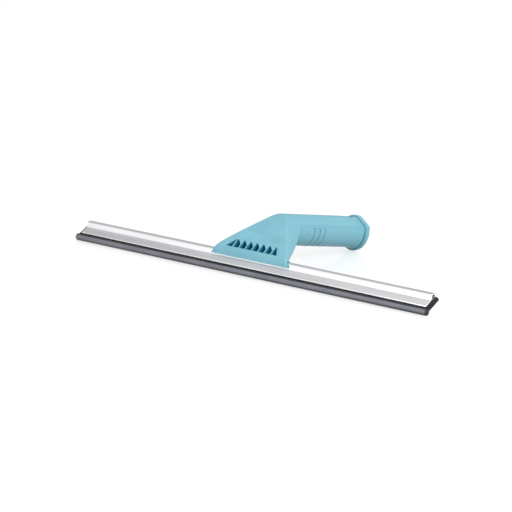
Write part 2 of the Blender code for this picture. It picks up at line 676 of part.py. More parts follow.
def make_pole_socket():
    """The tapered sleeve for a pole's tip, with the collar that caps the two shells."""
    floor = SOCKET_DEPTH + SOCKET_FLOOR
    rim = grip_outline(RIM_PROUD, roof_grow=RIM_ROOF_PROUD)
    flange = extruded("pole_socket", [rim], FLANGE_THICKNESS,
                      grip_frame(FLANGE_THICKNESS / 2))
    skirt = extruded("collar_skirt", [rim, grip_outline(CLEARANCE)],
                     RIM_LENGTH - FLANGE_THICKNESS / 2,
                     grip_frame(RIM_LENGTH / 2 + FLANGE_THICKNESS / 4), CUTTERS)
    combine(flange, skirt, "UNION")
    sleeve = turned("socket_sleeve", rod(SOCKET_OUTER_RADIUS, floor - FLANGE_THICKNESS / 2),
                    on_handle(0.0, FLANGE_THICKNESS / 2, SOCKET_HEIGHT), -AXIS, CUTTERS)
    combine(flange, sleeve, "UNION")
    taper = (SOCKET_MOUTH_RADIUS - SOCKET_BOTTOM_RADIUS) / SOCKET_DEPTH
    bore = turned("socket_bore",
                  [(0.0, SOCKET_DEPTH), (SOCKET_BOTTOM_RADIUS, SOCKET_DEPTH),
                   (SOCKET_MOUTH_RADIUS + taper * CUT_PAST, -CUT_PAST), (0.0, -CUT_PAST)],
                  on_handle(0.0, 0.0, SOCKET_HEIGHT), -AXIS, CUTTERS)
    combine(flange, bore, "DIFFERENCE")
    hole = turned("stud_hole", rod(STUD_RADIUS + CLEARANCE, 2 * SOCKET_OUTER_RADIUS),
                  on_handle(0.0, button_middle(), SOCKET_HEIGHT), RISE, CUTTERS)
    combine(flange, hole, "DIFFERENCE")
    return finish_piece(flange, PLASTIC, 0.42, 0.0)


def button_middle():
    """How far the button's middle is from the collar's end face."""
    return BUTTON_WINDOW_START + BUTTON_WINDOW_LENGTH - BUTTON_LENGTH / 2 - CLEARANCE


def make_release():
    """The button in the roof's window, its stud in the socket's hole, and its coil spring."""
    middle = button_middle()
    under_roof = GRIP_HEIGHT - SHELL_WALL - BUTTON_ROOF_GAP
    flange_foot = under_roof - BUTTON_FLANGE_THICKNESS
    back = middle + BUTTON_LENGTH / 2
    front = middle - BUTTON_LENGTH / 2
    button = tilted_box("release_button",
                        (-BUTTON_HALF_WIDTH, front, under_roof - BUTTON_FLANGE_THICKNESS / 2),
                        (BUTTON_HALF_WIDTH, back, GRIP_HEIGHT - BUTTON_SUNK), PARTS)
    flange = tilted_box("button_flange",
                        (-BUTTON_FLANGE_HALF, BUTTON_WINDOW_START - BUTTON_FLANGE_LAP, flange_foot),
                        (BUTTON_FLANGE_HALF, back + BUTTON_FLANGE_LAP, under_roof))
    combine(button, flange, "UNION")
    stud_foot = SOCKET_HEIGHT + SOCKET_MOUTH_RADIUS
    stud = turned("button_stud", rod(STUD_RADIUS, under_roof - stud_foot),
                  on_handle(0.0, middle, stud_foot), RISE, CUTTERS)
    combine(button, stud, "UNION")
    finish_piece(button, PLASTIC, 0.42, 0.0)
    spring_foot = SOCKET_HEIGHT + SOCKET_OUTER_RADIUS + CLEARANCE + SPRING_WIRE
    spring_top = flange_foot - CLEARANCE - SPRING_WIRE
    curve = bpy.data.curves.new("release_spring", "CURVE")
    curve.dimensions = "3D"
    curve.bevel_depth = SPRING_WIRE
    curve.bevel_resolution = 1
    curve.use_fill_caps = True
    spline = curve.splines.new("POLY")
    spline.points.add(SPRING_POINTS)
    for step in range(SPRING_POINTS + 1):
        angle = 2 * math.pi * step / SPRING_POINTS
        height = spring_foot + (spring_top - spring_foot) * step / SPRING_POINTS
        spot = on_handle(SPRING_RADIUS * math.cos(angle),
                         middle + SPRING_RADIUS * math.sin(angle), height)
        spline.points[step].co = (*spot, 1.0)
    spring = curve_to_piece(new_object("release_spring", curve))
    return button, finish_piece(spring, STEEL, 0.3, 1.0)


def curve_to_piece(holder):
    """Replace a curve object by a mesh object of the same name."""
    bpy.context.view_layer.update()
    seen = holder.evaluated_get(bpy.context.evaluated_depsgraph_get())
    mesh = bpy.data.meshes.new_from_object(seen)
    name = holder.name
    curve = holder.data
    bpy.data.objects.remove(holder, do_unlink=True)
    bpy.data.curves.remove(curve)
    weld(mesh)
    return new_object(name, mesh)


# ---------------------------------------------------------------- clamp
def make_saddle():
    """The clamp's upper jaw: it fills the head behind the window and seats on the ridge."""
    skin_in = (SHELL_WALL + CLEARANCE) / math.cos(FACE_TILT)
    grille_in = (GRILLE_DEPTH + 2 * CLEARANCE) / math.cos(FACE_TILT)

    def under_face(back, depth):
        return Vector((back, KNEE.z + (back - KNEE.y) * math.tan(FACE_TILT) - depth))

    step_back = KNEE.y + SADDLE_STEP
    toe = GROOVE.x + RIDGE_CREST_FRONT
    section = [
        Vector((toe, RIDGE_TOP - RIDGE_SKIN)),
        under_face(toe, grille_in + 3 * CLEARANCE),
        under_face(step_back, grille_in),
        under_face(step_back, skin_in + CLEARANCE),
        under_face(SADDLE_BACK, skin_in + CLEARANCE),
        Vector((SADDLE_BACK, SADDLE_UNDERSIDE)),
        Vector((GROOVE.x + RIDGE_WIDTH, SADDLE_UNDERSIDE)),
    ]
    saddle = extruded("rail_saddle", [section], 2 * SADDLE_FRONT_HALF, section_frame())
    plan = [Vector((side * half, back)) for side, half, back in (
        (-1, SADDLE_FRONT_HALF, 0.0), (1, SADDLE_FRONT_HALF, 0.0),
        (1, SADDLE_FRONT_HALF, step_back), (1, SADDLE_REAR_HALF, SADDLE_BACK + CUT_PAST),
        (-1, SADDLE_REAR_HALF, SADDLE_BACK + CUT_PAST), (-1, SADDLE_FRONT_HALF, step_back))]
    keep = extruded("saddle_plan", [plan], 4 * SADDLE_BACK, Matrix.Identity(4), CUTTERS)
    combine(saddle, keep, "INTERSECT")
    seat = extruded("saddle_seat", [rail_outline(CLEARANCE)], RAIL_LENGTH,
                    section_frame(), CUTTERS)
    combine(saddle, seat, "DIFFERENCE")
    for side in (-1, 1):
        bore = turned("saddle_bore", rod(CLAMP_SCREW_RADIUS + CLEARANCE, CLAMP_SCREW_LENGTH),
                      Vector((side * CLAMP_SCREW_SPREAD, CLAMP_SCREW_BACK,
                              SADDLE_UNDERSIDE - CLAMP_THICKNESS)), UPRIGHT, CUTTERS)
        combine(saddle, bore, "DIFFERENCE")
    return finish_piece(saddle, (0.10, 0.25, 0.30), 0.5, 0.0)


def make_clamp_plate():
    """The clamp's lower jaw: a bent steel plate under the rail and the saddle."""
    gap = -RAIL_DROP - CLEARANCE
    rear = STRIP_DEPTH + CLEARANCE + RAIL_WALL
    top = SADDLE_UNDERSIDE - CLEARANCE
    under = on_slope(rear, gap)
    section = [
        on_slope(CLAMP_FRONT, gap), on_slope(CLAMP_FRONT, gap - CLAMP_THICKNESS),
        on_slope(rear + CLEARANCE, gap - CLAMP_THICKNESS),
        Vector((under.x + CLAMP_OUTER_BEND, top - CLAMP_THICKNESS)),
        Vector((SADDLE_BACK, top - CLAMP_THICKNESS)), Vector((SADDLE_BACK, top)),
        Vector((under.x + CLAMP_INNER_BEND, top)), on_slope(rear + CLEARANCE, gap),
    ]
    plate = extruded("clamp_plate", [section], 2 * CLAMP_HALF_WIDTH, section_frame())
    for side in (-1, 1):
        bore = turned("plate_bore", rod(CLAMP_SCREW_RADIUS + CLEARANCE, 2 * SADDLE_UNDERSIDE),
                      Vector((side * CLAMP_SCREW_SPREAD, CLAMP_SCREW_BACK, 0.0)), UPRIGHT, CUTTERS)
        combine(plate, bore, "DIFFERENCE")
    return finish_piece(plate, STEEL, 0.35, 1.0)


def screw_profile(radius, head_radius, head_height, length):
    """A pan-head screw, point up, with its head's face at height 0."""
    chamfer = radius * SCREW_CHAMFER
    return [(0.0, head_height + length), (radius - chamfer, head_height + length),
            (radius, head_height + length - chamfer), (radius, head_height),
            (head_radius, head_height), (head_radius, head_height * SCREW_CHAMFER),
            (head_radius * SCREW_FACE, 0.0), (0.0, 0.0)]


def make_screws():
    """Two clamp screws from below the plate, and two that join the shells."""
    screws = []
    clamp = screw_profile(CLAMP_SCREW_RADIUS, CLAMP_SCREW_HEAD_RADIUS, CLAMP_SCREW_HEAD_HEIGHT,
                          CLAMP_SCREW_LENGTH - CLAMP_SCREW_SHORT)
    foot = SADDLE_UNDERSIDE - 2 * CLEARANCE - CLAMP_THICKNESS - CLAMP_SCREW_HEAD_HEIGHT
    for side, name in ((-1, "clamp_screw_left"), (1, "clamp_screw_right")):
        spot = Vector((side * CLAMP_SCREW_SPREAD, CLAMP_SCREW_BACK, foot))
        screws.append(turned(name, clamp, spot, UPRIGHT))
    joiner = screw_profile(SHELL_SCREW_RADIUS, SHELL_SCREW_HEAD_RADIUS, SHELL_SCREW_HEAD_HEIGHT,
                           SHELL_SCREW_LENGTH)
    for name, back in SHELL_SCREW_STATIONS.items():
        screws.append(turned(name, joiner, on_handle(0.0, back, SHELL_SCREW_RECESS), RISE))
    return [finish_piece(screw, STEEL, 0.3, 1.0) for screw in screws]


# ---------------------------------------------------------------- assembly
def axis_empty(name, spot, parent=None):
    """An empty on a joint's axis, which carries the pieces that move with it."""
    empty = bpy.data.objects.new(name, None)
    empty.empty_display_size = 0.02
    empty.location = spot
    empty.parent = parent
    PARTS.objects.link(empty)
    return empty


def hang_on(empty, pieces, spot):
    """Parent pieces to an empty, with their own origins moved onto it."""
    for piece in pieces:
        piece.data.transform(Matrix.Translation(-spot))
        piece.parent = empty


def build():
    centre_on_table = Vector((0.0, -MIDDLE_Y, 0.0))
    base = axis_empty("squeegee_base", centre_on_table)
    fixed = [make_upper_shell(), make_grip_shell(), make_pole_socket(), make_saddle(),
             make_clamp_plate()]
    fixed += make_screws()
    rail = make_rail()
    blade, clips = make_blade_and_clips()
    button, spring = make_release()
    for piece in fixed + [spring]:
        piece.parent = base
    rail_axis = axis_empty("rail_slide_axis", Vector((0, GROOVE.x, GROOVE.y)), base)
    hang_on(rail_axis, [rail], rail_axis.location)
    nose = Vector((0, NOSE_CENTRE.x, NOSE_CENTRE.y))
    blade_axis = axis_empty("blade_slide_axis", nose - rail_axis.location, rail_axis)
    hang_on(blade_axis, [blade] + clips, nose)
    press = on_handle(0.0, button_middle(), GRIP_HEIGHT)
    press_axis = axis_empty("button_press_axis", press, base)
    hang_on(press_axis, [button], press)


build()
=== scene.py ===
"""A window squeegee on a pale table: bright rail, dark rubber, turquoise moulded handle."""
import math

import bmesh
import bpy
from mathutils import Matrix, Vector


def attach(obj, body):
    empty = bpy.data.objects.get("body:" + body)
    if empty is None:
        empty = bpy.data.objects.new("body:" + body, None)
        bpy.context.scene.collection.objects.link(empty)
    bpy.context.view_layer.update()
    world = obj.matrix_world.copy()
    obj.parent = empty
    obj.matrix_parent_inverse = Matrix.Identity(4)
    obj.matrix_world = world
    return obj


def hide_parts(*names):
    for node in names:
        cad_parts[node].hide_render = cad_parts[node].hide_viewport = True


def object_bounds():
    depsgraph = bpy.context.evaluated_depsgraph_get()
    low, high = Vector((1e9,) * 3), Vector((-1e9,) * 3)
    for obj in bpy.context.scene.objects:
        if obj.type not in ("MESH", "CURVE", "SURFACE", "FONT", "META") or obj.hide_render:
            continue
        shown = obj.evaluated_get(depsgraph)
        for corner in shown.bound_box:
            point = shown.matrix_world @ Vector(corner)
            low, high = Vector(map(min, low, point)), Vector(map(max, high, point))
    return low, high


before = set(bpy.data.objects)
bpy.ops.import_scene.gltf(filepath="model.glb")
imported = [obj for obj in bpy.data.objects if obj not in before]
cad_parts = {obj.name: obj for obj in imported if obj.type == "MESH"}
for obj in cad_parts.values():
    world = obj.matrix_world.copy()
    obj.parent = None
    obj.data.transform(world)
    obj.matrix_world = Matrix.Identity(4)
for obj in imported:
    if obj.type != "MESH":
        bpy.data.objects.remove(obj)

cad_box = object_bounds()

# ------------------------------------------------------------------ table, lamps and camera
# A seamless pale sweep, lit by two wide soft lamps and a pale room.  The camera stands well back
# with a long lens, to the right of the blade and low over the table.
CAMERA_TURN = math.radians(44.0)
CAMERA_RISE = math.radians(12.63)
CAMERA_DISTANCE = 2.8046
CAMERA_LENS = 212.8
SENSOR_WIDTH = 36.0
CAMERA_ASIDE = 0.0129
CAMERA_LIFT = 0.0185
NOSE_RADIUS = 0.0033        # of the rubber, whose middle line the camera is aimed at
SIGHT_AHEAD = 0.0012
TABLE_SIZE = 16.0
TABLE_TONE = 0.50
TABLE_ROUGHNESS = 0.20
TABLE_GLOW = 0.60


def white_table():
    """White board with a soft gloss; the camera sees it bright enough to stay white."""
    material = bpy.data.materials.new("white_table")
    material.use_nodes = True
    nodes = material.node_tree.nodes
    links = material.node_tree.links
    shader = nodes["Principled BSDF"]
    shader.inputs["Base Color"].default_value = (TABLE_TONE, TABLE_TONE, TABLE_TONE, 1.0)
    shader.inputs["Roughness"].default_value = TABLE_ROUGHNESS
    glow = nodes.new("ShaderNodeEmission")
    glow.inputs["Strength"].default_value = TABLE_GLOW
    lit = nodes.new("ShaderNodeAddShader")
    seen = nodes.new("ShaderNodeMixShader")
    path = nodes.new("ShaderNodeLightPath")
    straight = nodes.new("ShaderNodeMath")
    straight.operation = "MAXIMUM"
    links.new(path.outputs["Is Camera Ray"], straight.inputs[0])
    links.new(path.outputs["Is Glossy Ray"], straight.inputs[1])
    links.new(shader.outputs["BSDF"], lit.inputs[0])
    links.new(glow.outputs[0], lit.inputs[1])
    links.new(straight.outputs[0], seen.inputs["Fac"])
    links.new(shader.outputs["BSDF"], seen.inputs[1])
    links.new(lit.outputs[0], seen.inputs[2])
    links.new(seen.outputs[0], nodes["Material Output"].inputs["Surface"])
    bpy.ops.mesh.primitive_plane_add(size=TABLE_SIZE)
    table = bpy.context.object
    table.name = "table"
    table.data.materials.append(material)
    return table


white_table()

ROOM_TONE = 0.62
ROOM_FRONT = (1.15, 1.15, 1.16)
ROOM_REAR = (0.50, 0.495, 0.51)
ROOM_FRONT_EDGE = -0.55     # on a unit sphere; from here back to the middle the tone changes


def pale_room(ambient, front_tone, rear_tone):
    """An even room; polished surfaces see it white in front and greyer above and behind."""
    world = bpy.data.worlds.new("pale_room")
    bpy.context.scene.world = world
    world.use_nodes = True
    nodes = world.node_tree.nodes
    links = world.node_tree.links
    even = nodes["Background"]
    even.inputs["Color"].default_value = (ambient, ambient, ambient, 1.0)
    way = nodes.new("ShaderNodeSeparateXYZ")
    links.new(nodes.new("ShaderNodeTexCoord").outputs["Generated"], way.inputs[0])
    front_to_rear = nodes.new("ShaderNodeMapRange")
    front_to_rear.inputs["From Min"].default_value = ROOM_FRONT_EDGE
    front_to_rear.inputs["From Max"].default_value = 0.0
    links.new(way.outputs["Y"], front_to_rear.inputs["Value"])
    tone = nodes.new("ShaderNodeValToRGB")
    tone.color_ramp.elements[0].color = (*front_tone, 1.0)
    tone.color_ramp.elements[1].color = (*rear_tone, 1.0)
    links.new(front_to_rear.outputs[0], tone.inputs["Fac"])
    mirrored = nodes.new("ShaderNodeBackground")
    links.new(tone.outputs["Color"], mirrored.inputs["Color"])
    backdrop = nodes.new("ShaderNodeBackground")
    backdrop.inputs["Color"].default_value = (1.0, 1.0, 1.0, 1.0)
    path = nodes.new("ShaderNodeLightPath")
    glossy_mix = nodes.new("ShaderNodeMixShader")
    camera_mix = nodes.new("ShaderNodeMixShader")
    links.new(path.outputs["Is Glossy Ray"], glossy_mix.inputs["Fac"])
    links.new(even.outputs[0], glossy_mix.inputs[1])
    links.new(mirrored.outputs[0], glossy_mix.inputs[2])
    links.new(path.outputs["Is Camera Ray"], camera_mix.inputs["Fac"])
    links.new(glossy_mix.outputs[0], camera_mix.inputs[1])
    links.new(backdrop.outputs[0], camera_mix.inputs[2])
    links.new(camera_mix.outputs[0], nodes["World Output"].inputs["Surface"])


pale_room(ROOM_TONE, ROOM_FRONT, ROOM_REAR)


def soft_lamp(name, spot, aim, size, power):
    """A square softbox that faces the object."""
    lamp = bpy.data.lights.new(name, "AREA")
    lamp.shape = "SQUARE"
    lamp.size = size
    lamp.energy = power
    holder = bpy.data.objects.new(name, lamp)
    holder.location = spot
    holder.rotation_euler = (Vector(aim) - Vector(spot)).to_track_quat("-Z", "Y").to_euler()
    bpy.context.scene.collection.objects.link(holder)


soft_lamp("key_softbox", (1.9, 0.1, 1.3), (0.0, 0.0, 0.0), 1.1, 27.0)
soft_lamp("front_softbox", (-0.2, -2.1, 0.35), (0.0, 0.0, 0.0), 1.0, 14.0)

right = Vector((math.cos(CAMERA_TURN), math.sin(CAMERA_TURN), 0.0))
up = Vector((-math.sin(CAMERA_TURN) * math.sin(CAMERA_RISE),
             math.cos(CAMERA_TURN) * math.sin(CAMERA_RISE), math.cos(CAMERA_RISE)))
towards = right.cross(up)
nose_line = Vector((0.0, cad_box[0][1] + NOSE_RADIUS - SIGHT_AHEAD, 0.0))
camera = bpy.data.cameras.new("camera")
camera.lens = CAMERA_LENS
camera.sensor_width = SENSOR_WIDTH
camera.clip_end = 2 * TABLE_SIZE
camera_holder = bpy.data.objects.new("camera", camera)
camera_frame = Matrix((right, up, towards)).transposed().to_4x4()
camera_frame.translation = (nose_line + towards * CAMERA_DISTANCE + right * CAMERA_ASIDE
                            + up * CAMERA_LIFT)
camera_holder.matrix_world = camera_frame
bpy.context.scene.collection.objects.link(camera_holder)
bpy.context.scene.camera = camera_holder
bpy.context.scene.view_settings.view_transform = "Standard"


# ------------------------------------------------------------------ moulded turquoise plastic
# Polypropylene with a fine spark-eroded texture: satin, a little paler where it is thin, with a
# slow change of tone over the moulding.
PLASTIC_COLOUR = (0.245, 0.560, 0.670)
PLASTIC_DEEP = (0.228, 0.538, 0.648)
SADDLE_PAINTED_SHADE = (0.004, 0.150, 0.270)       # painted shade: the saddle is coloured dark for the shade seen through the openings
SADDLE_PAINTED_SHADE_DEEP = (0.003, 0.120, 0.220)
OPENING_PAINTED_SHADE = (0.045, 0.330, 0.480)      # painted shade: the openings' walls are coloured deeper for the shade and bounce between them
OPENING_PAINTED_SHADE_DEEP = (0.035, 0.290, 0.430)
CLOUD_SCALE = 28.0
GRAIN_SCALE = 2600.0        # a spark-eroded grain of about half a millimetre
GRAIN_DEPTH = 0.00008
WALL_GLOW = 0.003           # how deep light creeps into the wall


def linked_noise(nodes, links, scale, detail, source):
    """A noise read at a place, as a value from 0 to 1."""
    noise = nodes.new("ShaderNodeTexNoise")
    noise.inputs["Scale"].default_value = scale
    noise.inputs["Detail"].default_value = detail
    links.new(source, noise.inputs["Vector"])
    return noise.outputs["Fac"]


def set_ramp(nodes, links, source, low, high, dark, light):
    """Read a texture between two levels as a colour between dark and light."""
    ramp = nodes.new("ShaderNodeValToRGB")
    ramp.color_ramp.elements[0].position = low
    ramp.color_ramp.elements[1].position = high
    ramp.color_ramp.elements[0].color = (*dark, 1.0)
    ramp.color_ramp.elements[1].color = (*light, 1.0)
    links.new(source, ramp.inputs["Fac"])
    return ramp.outputs["Color"]


def grey(level):
    return (level, level, level)


def moulded_plastic(name, colour, deep, roughness):
    """Satin plastic of one colour that drifts towards a deeper tone."""
    material = bpy.data.materials.new(name)
    material.use_nodes = True
    nodes = material.node_tree.nodes
    links = material.node_tree.links
    shader = nodes["Principled BSDF"]
    place = nodes.new("ShaderNodeTexCoord").outputs["Object"]
    slow = linked_noise(nodes, links, CLOUD_SCALE, 3.0, place)
    links.new(set_ramp(nodes, links, slow, 0.35, 0.65, deep, colour), shader.inputs["Base Color"])
    grain = linked_noise(nodes, links, GRAIN_SCALE, 2.0, place)
    links.new(set_ramp(nodes, links, grain, 0.3, 0.7, grey(roughness - 0.05),
                       grey(roughness + 0.07)), shader.inputs["Roughness"])
    bump = nodes.new("ShaderNodeBump")
    bump.inputs["Strength"].default_value = 0.12
    bump.inputs["Distance"].default_value = GRAIN_DEPTH
    links.new(grain, bump.inputs["Height"])
    links.new(bump.outputs["Normal"], shader.inputs["Normal"])
    shader.inputs["Specular IOR Level"].default_value = 0.28
    shader.inputs["Subsurface Weight"].default_value = 0.06
    shader.inputs["Subsurface Radius"].default_value = (0.3, 0.6, 0.8)
    shader.inputs["Subsurface Scale"].default_value = WALL_GLOW
    return material


turquoise = moulded_plastic("turquoise_polypropylene", PLASTIC_COLOUR, PLASTIC_DEEP, 0.42)
# painted shade: the saddle's plastic is coloured dark for the shade behind the openings
saddle_shade_turquoise = moulded_plastic("shadowed_polypropylene", SADDLE_PAINTED_SHADE, SADDLE_PAINTED_SHADE_DEEP, 0.6)

# painted shade: a deeper turquoise for the walls inside the openings
opening_shade_turquoise = moulded_plastic("opening_shade_polypropylene", OPENING_PAINTED_SHADE, OPENING_PAINTED_SHADE_DEEP, 0.5)


# ------------------------------------------------------------------ aluminium, rubber and steel
# Bright-dipped aluminium with faint die lines, extruded black rubber with a band of painted light
# along its nose, and zinc-plated steel that handling has brushed.
DIE_LINES = (3.0, 900.0, 900.0)         # scale along and across the extrusion
DIE_LINE_DEPTH = 0.00005
DRAWN_LINES = (12.0, 1500.0, 1500.0)
DRAWN_LINE_DEPTH = 0.00006
# painted light: the rubber's nose is painted lighter in a band of heights where light falls on it,
# and stays black above and below
LIT_BAND_ROOF = 0.0080                     # heights above the table are shares of this
LIT_BAND_STARTS, LIT_BAND_FULL, LIT_BAND_THINS, LIT_BAND_ENDS = 0.10, 0.40, 0.69, 0.78
# painted light: the lighter colour of that band
NOSE_PAINTED_LIGHT = (0.245, 0.250, 0.292)
# painted shade: the band's dimmer colour on the sawn ends, which face away from the light
END_PAINTED_SHADE = (0.055, 0.060, 0.060)
RUBBER_BLACK = (0.018, 0.018, 0.021)
RUBBER_BLACKEST = (0.010, 0.010, 0.012)
PATCHY = 0.82                           # the painted light band's dimmest patches


def bright_aluminium(name):
    """Bright-dipped extrusion: mirror-like, with faint die lines along its length."""
    material = bpy.data.materials.new(name)
    material.use_nodes = True
    nodes = material.node_tree.nodes
    links = material.node_tree.links
    shader = nodes["Principled BSDF"]
    shader.inputs["Metallic"].default_value = 1.0
    shader.inputs["Anisotropic"].default_value = 0.85
    round_the_length = nodes.new("ShaderNodeTangent")
    round_the_length.direction_type = "RADIAL"
    round_the_length.axis = "X"
    links.new(round_the_length.outputs["Tangent"], shader.inputs["Tangent"])
    place = nodes.new("ShaderNodeTexCoord").outputs["Object"]
    stretch = nodes.new("ShaderNodeMapping")
    stretch.inputs["Scale"].default_value = DIE_LINES
    links.new(place, stretch.inputs["Vector"])
    lines = linked_noise(nodes, links, 3.0, 4.0, stretch.outputs["Vector"])
    links.new(set_ramp(nodes, links, lines, 0.3, 0.7, grey(0.26), grey(0.38)),
              shader.inputs["Roughness"])
    cloud = linked_noise(nodes, links, 22.0, 2.0, place)
    links.new(set_ramp(nodes, links, cloud, 0.3, 0.7, (0.86, 0.86, 0.875), (0.92, 0.92, 0.93)),
              shader.inputs["Base Color"])
    bump = nodes.new("ShaderNodeBump")
    bump.inputs["Strength"].default_value = 0.05
    bump.inputs["Distance"].default_value = DIE_LINE_DEPTH
    links.new(lines, bump.inputs["Height"])
    links.new(bump.outputs["Normal"], shader.inputs["Normal"])
    return material


def soft_rubber(name, painted_light):
    """Near-black rubber with a band of painted light along its nose and fine drawn lines."""
    material = bpy.data.materials.new(name)
    material.use_nodes = True
    nodes = material.node_tree.nodes
    links = material.node_tree.links
    shader = nodes["Principled BSDF"]
    place = nodes.new("ShaderNodeTexCoord").outputs["Object"]
    cloud = linked_noise(nodes, links, 45.0, 5.0, place)
    height = nodes.new("ShaderNodeSeparateXYZ")
    links.new(place, height.inputs[0])
    zone = nodes.new("ShaderNodeMapRange")
    zone.inputs["From Max"].default_value = LIT_BAND_ROOF
    links.new(height.outputs["Z"], zone.inputs["Value"])
    # painted light: lighter at the heights where light falls on the nose
    band = nodes.new("ShaderNodeValToRGB")
    band.color_ramp.elements[0].position = LIT_BAND_STARTS
    band.color_ramp.elements[0].color = (0.0, 0.0, 0.0, 1.0)
    band.color_ramp.elements[1].position = LIT_BAND_ENDS
    band.color_ramp.elements[1].color = (0.0, 0.0, 0.0, 1.0)
    for position in (LIT_BAND_FULL, LIT_BAND_THINS):
        band.color_ramp.elements.new(position).color = (1.0, 1.0, 1.0, 1.0)
    links.new(zone.outputs[0], band.inputs["Fac"])
    painted_light_mix = nodes.new("ShaderNodeMix")
    painted_light_mix.data_type = "RGBA"
    links.new(band.outputs["Color"], painted_light_mix.inputs["Factor"])
    links.new(set_ramp(nodes, links, cloud, 0.35, 0.7, RUBBER_BLACKEST, RUBBER_BLACK),
              painted_light_mix.inputs["A"])
    links.new(set_ramp(nodes, links, cloud, 0.35, 0.7, [tone * PATCHY for tone in painted_light], painted_light),
              painted_light_mix.inputs["B"])
    links.new(painted_light_mix.outputs["Result"], shader.inputs["Base Color"])
    shader.inputs["Specular IOR Level"].default_value = 0.22
    stretch = nodes.new("ShaderNodeMapping")
    stretch.inputs["Scale"].default_value = DRAWN_LINES
    links.new(place, stretch.inputs["Vector"])
    drawn = linked_noise(nodes, links, 1.0, 3.0, stretch.outputs["Vector"])
    links.new(set_ramp(nodes, links, drawn, 0.3, 0.7, grey(0.38), grey(0.52)),
              shader.inputs["Roughness"])
    bump = nodes.new("ShaderNodeBump")
    bump.inputs["Strength"].default_value = 0.10
    bump.inputs["Distance"].default_value = DRAWN_LINE_DEPTH
    links.new(drawn, bump.inputs["Height"])
    links.new(bump.outputs["Normal"], shader.inputs["Normal"])
    return material


def plated_steel(name):
    """Zinc-plated steel: pale, slightly blotched, brushed by handling."""
    material = bpy.data.materials.new(name)
    material.use_nodes = True
    nodes = material.node_tree.nodes
    links = material.node_tree.links
    shader = nodes["Principled BSDF"]
    shader.inputs["Metallic"].default_value = 1.0
    place = nodes.new("ShaderNodeTexCoord").outputs["Object"]
    blotch = linked_noise(nodes, links, 260.0, 4.0, place)
    links.new(set_ramp(nodes, links, blotch, 0.3, 0.7, (0.52, 0.53, 0.55), (0.66, 0.67, 0.68)),
              shader.inputs["Base Color"])
    links.new(set_ramp(nodes, links, blotch, 0.2, 0.8, grey(0.24), grey(0.42)),
              shader.inputs["Roughness"])
    return material


aluminium = bright_aluminium("bright_aluminium")
# painted light: the rubber carries a lighter band along its nose
rubber = soft_rubber("black_rubber", NOSE_PAINTED_LIGHT)
# painted shade: a copy of the rubber with a dimmer band, for the sawn ends
shaded_end_rubber = soft_rubber("shaded_end_rubber", END_PAINTED_SHADE)
steel = plated_steel("zinc_plated_steel")


# ------------------------------------------------------------------ rail
# An aluminium extrusion: a sloping flank with a thin lip, a groove, and a hollow ridge behind it.
# The long edges have the small radius that the die leaves; the ends are sawn and deburred.
RAIL_EDGE_RADIUS = 0.00045
LIP_EDGE = Vector((-0.075752, 0.007777))
LIP_RADIUS = 0.00095
SHARP_EDGE = math.radians(25.0)
SAME_PLACE = 0.00005


def modified(piece):
    """Turn a piece's modifiers into plain mesh."""
    bpy.context.view_layer.update()
    seen = piece.evaluated_get(bpy.context.evaluated_depsgraph_get())
    mesh = bpy.data.meshes.new_from_object(seen)
    piece.modifiers.clear()
    piece.data = mesh
    return piece


def soften(piece, radius, segments=3, limit=SHARP_EDGE):
    """Round a piece's sharp edges and shade it smooth."""
    bevel = piece.modifiers.new("edge_radius", "BEVEL")
    bevel.width = radius
    bevel.segments = segments
    bevel.limit_method = "ANGLE"
    bevel.angle_limit = limit
    bevel.use_clamp_overlap = True
    modified(piece)
    piece.data.shade_smooth()
    piece.data.set_sharp_from_angle(angle=limit)
    return piece


def fit(piece, finish, body, slot, *nodes):
    """Give a piece its finish, the body it moves with and the nodes that it stands for."""
    piece.data.materials.clear()
    piece.data.materials.append(finish)
    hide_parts(*nodes)
    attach(piece, body)


def round_edge(piece, place, radius):
    """Round the long edge that runs along X through a place in Y and Z."""
    shape = bmesh.new()
    shape.from_mesh(piece.data)
    near = [edge for edge in shape.edges
            if all((vert.co.yz - place).length < SAME_PLACE for vert in edge.verts)]
    bmesh.ops.bevel(shape, geom=near, offset=radius, segments=6, profile=0.5, affect="EDGES")
    shape.to_mesh(piece.data)
    shape.free()


def ring_loft(name, rings):
    """A closed solid through closed rings of equal count, with flat ends."""
    shape = bmesh.new()
    loops = [[shape.verts.new(spot) for spot in ring] for ring in rings]
    count = len(loops[0])
    for near, far in zip(loops, loops[1:]):
        for index in range(count):
            after = (index + 1) % count
            shape.faces.new((near[index], near[after], far[after], far[index]))
    shape.faces.new(loops[0])
    shape.faces.new(loops[-1])
    bmesh.ops.recalc_face_normals(shape, faces=shape.faces)
    mesh = bpy.data.meshes.new(name)
    shape.to_mesh(mesh)
    shape.free()
    piece = bpy.data.objects.new(name, mesh)
    bpy.context.scene.collection.objects.link(piece)
    return piece


def prism(name, outline, origin, x_axis, y_axis, start, end):
    """A flat outline in the plane of two axes, made solid between two depths."""
    normal = x_axis.cross(y_axis)
    rings = []
    for depth in (start, end):
        rings.append([origin + x_axis * spot[0] + y_axis * spot[1] + normal * depth
                      for spot in outline])
    return ring_loft(name, rings)


def apply_cut(piece, cutter, operation="DIFFERENCE"):
    """Cut a piece by a tool, or join the tool to it, and remove the tool."""
    boolean = piece.modifiers.new("cut", "BOOLEAN")
    boolean.operation = operation
    boolean.solver = "EXACT"
    boolean.object = cutter
    modified(piece)
    bpy.data.objects.remove(cutter, do_unlink=True)
    return piece


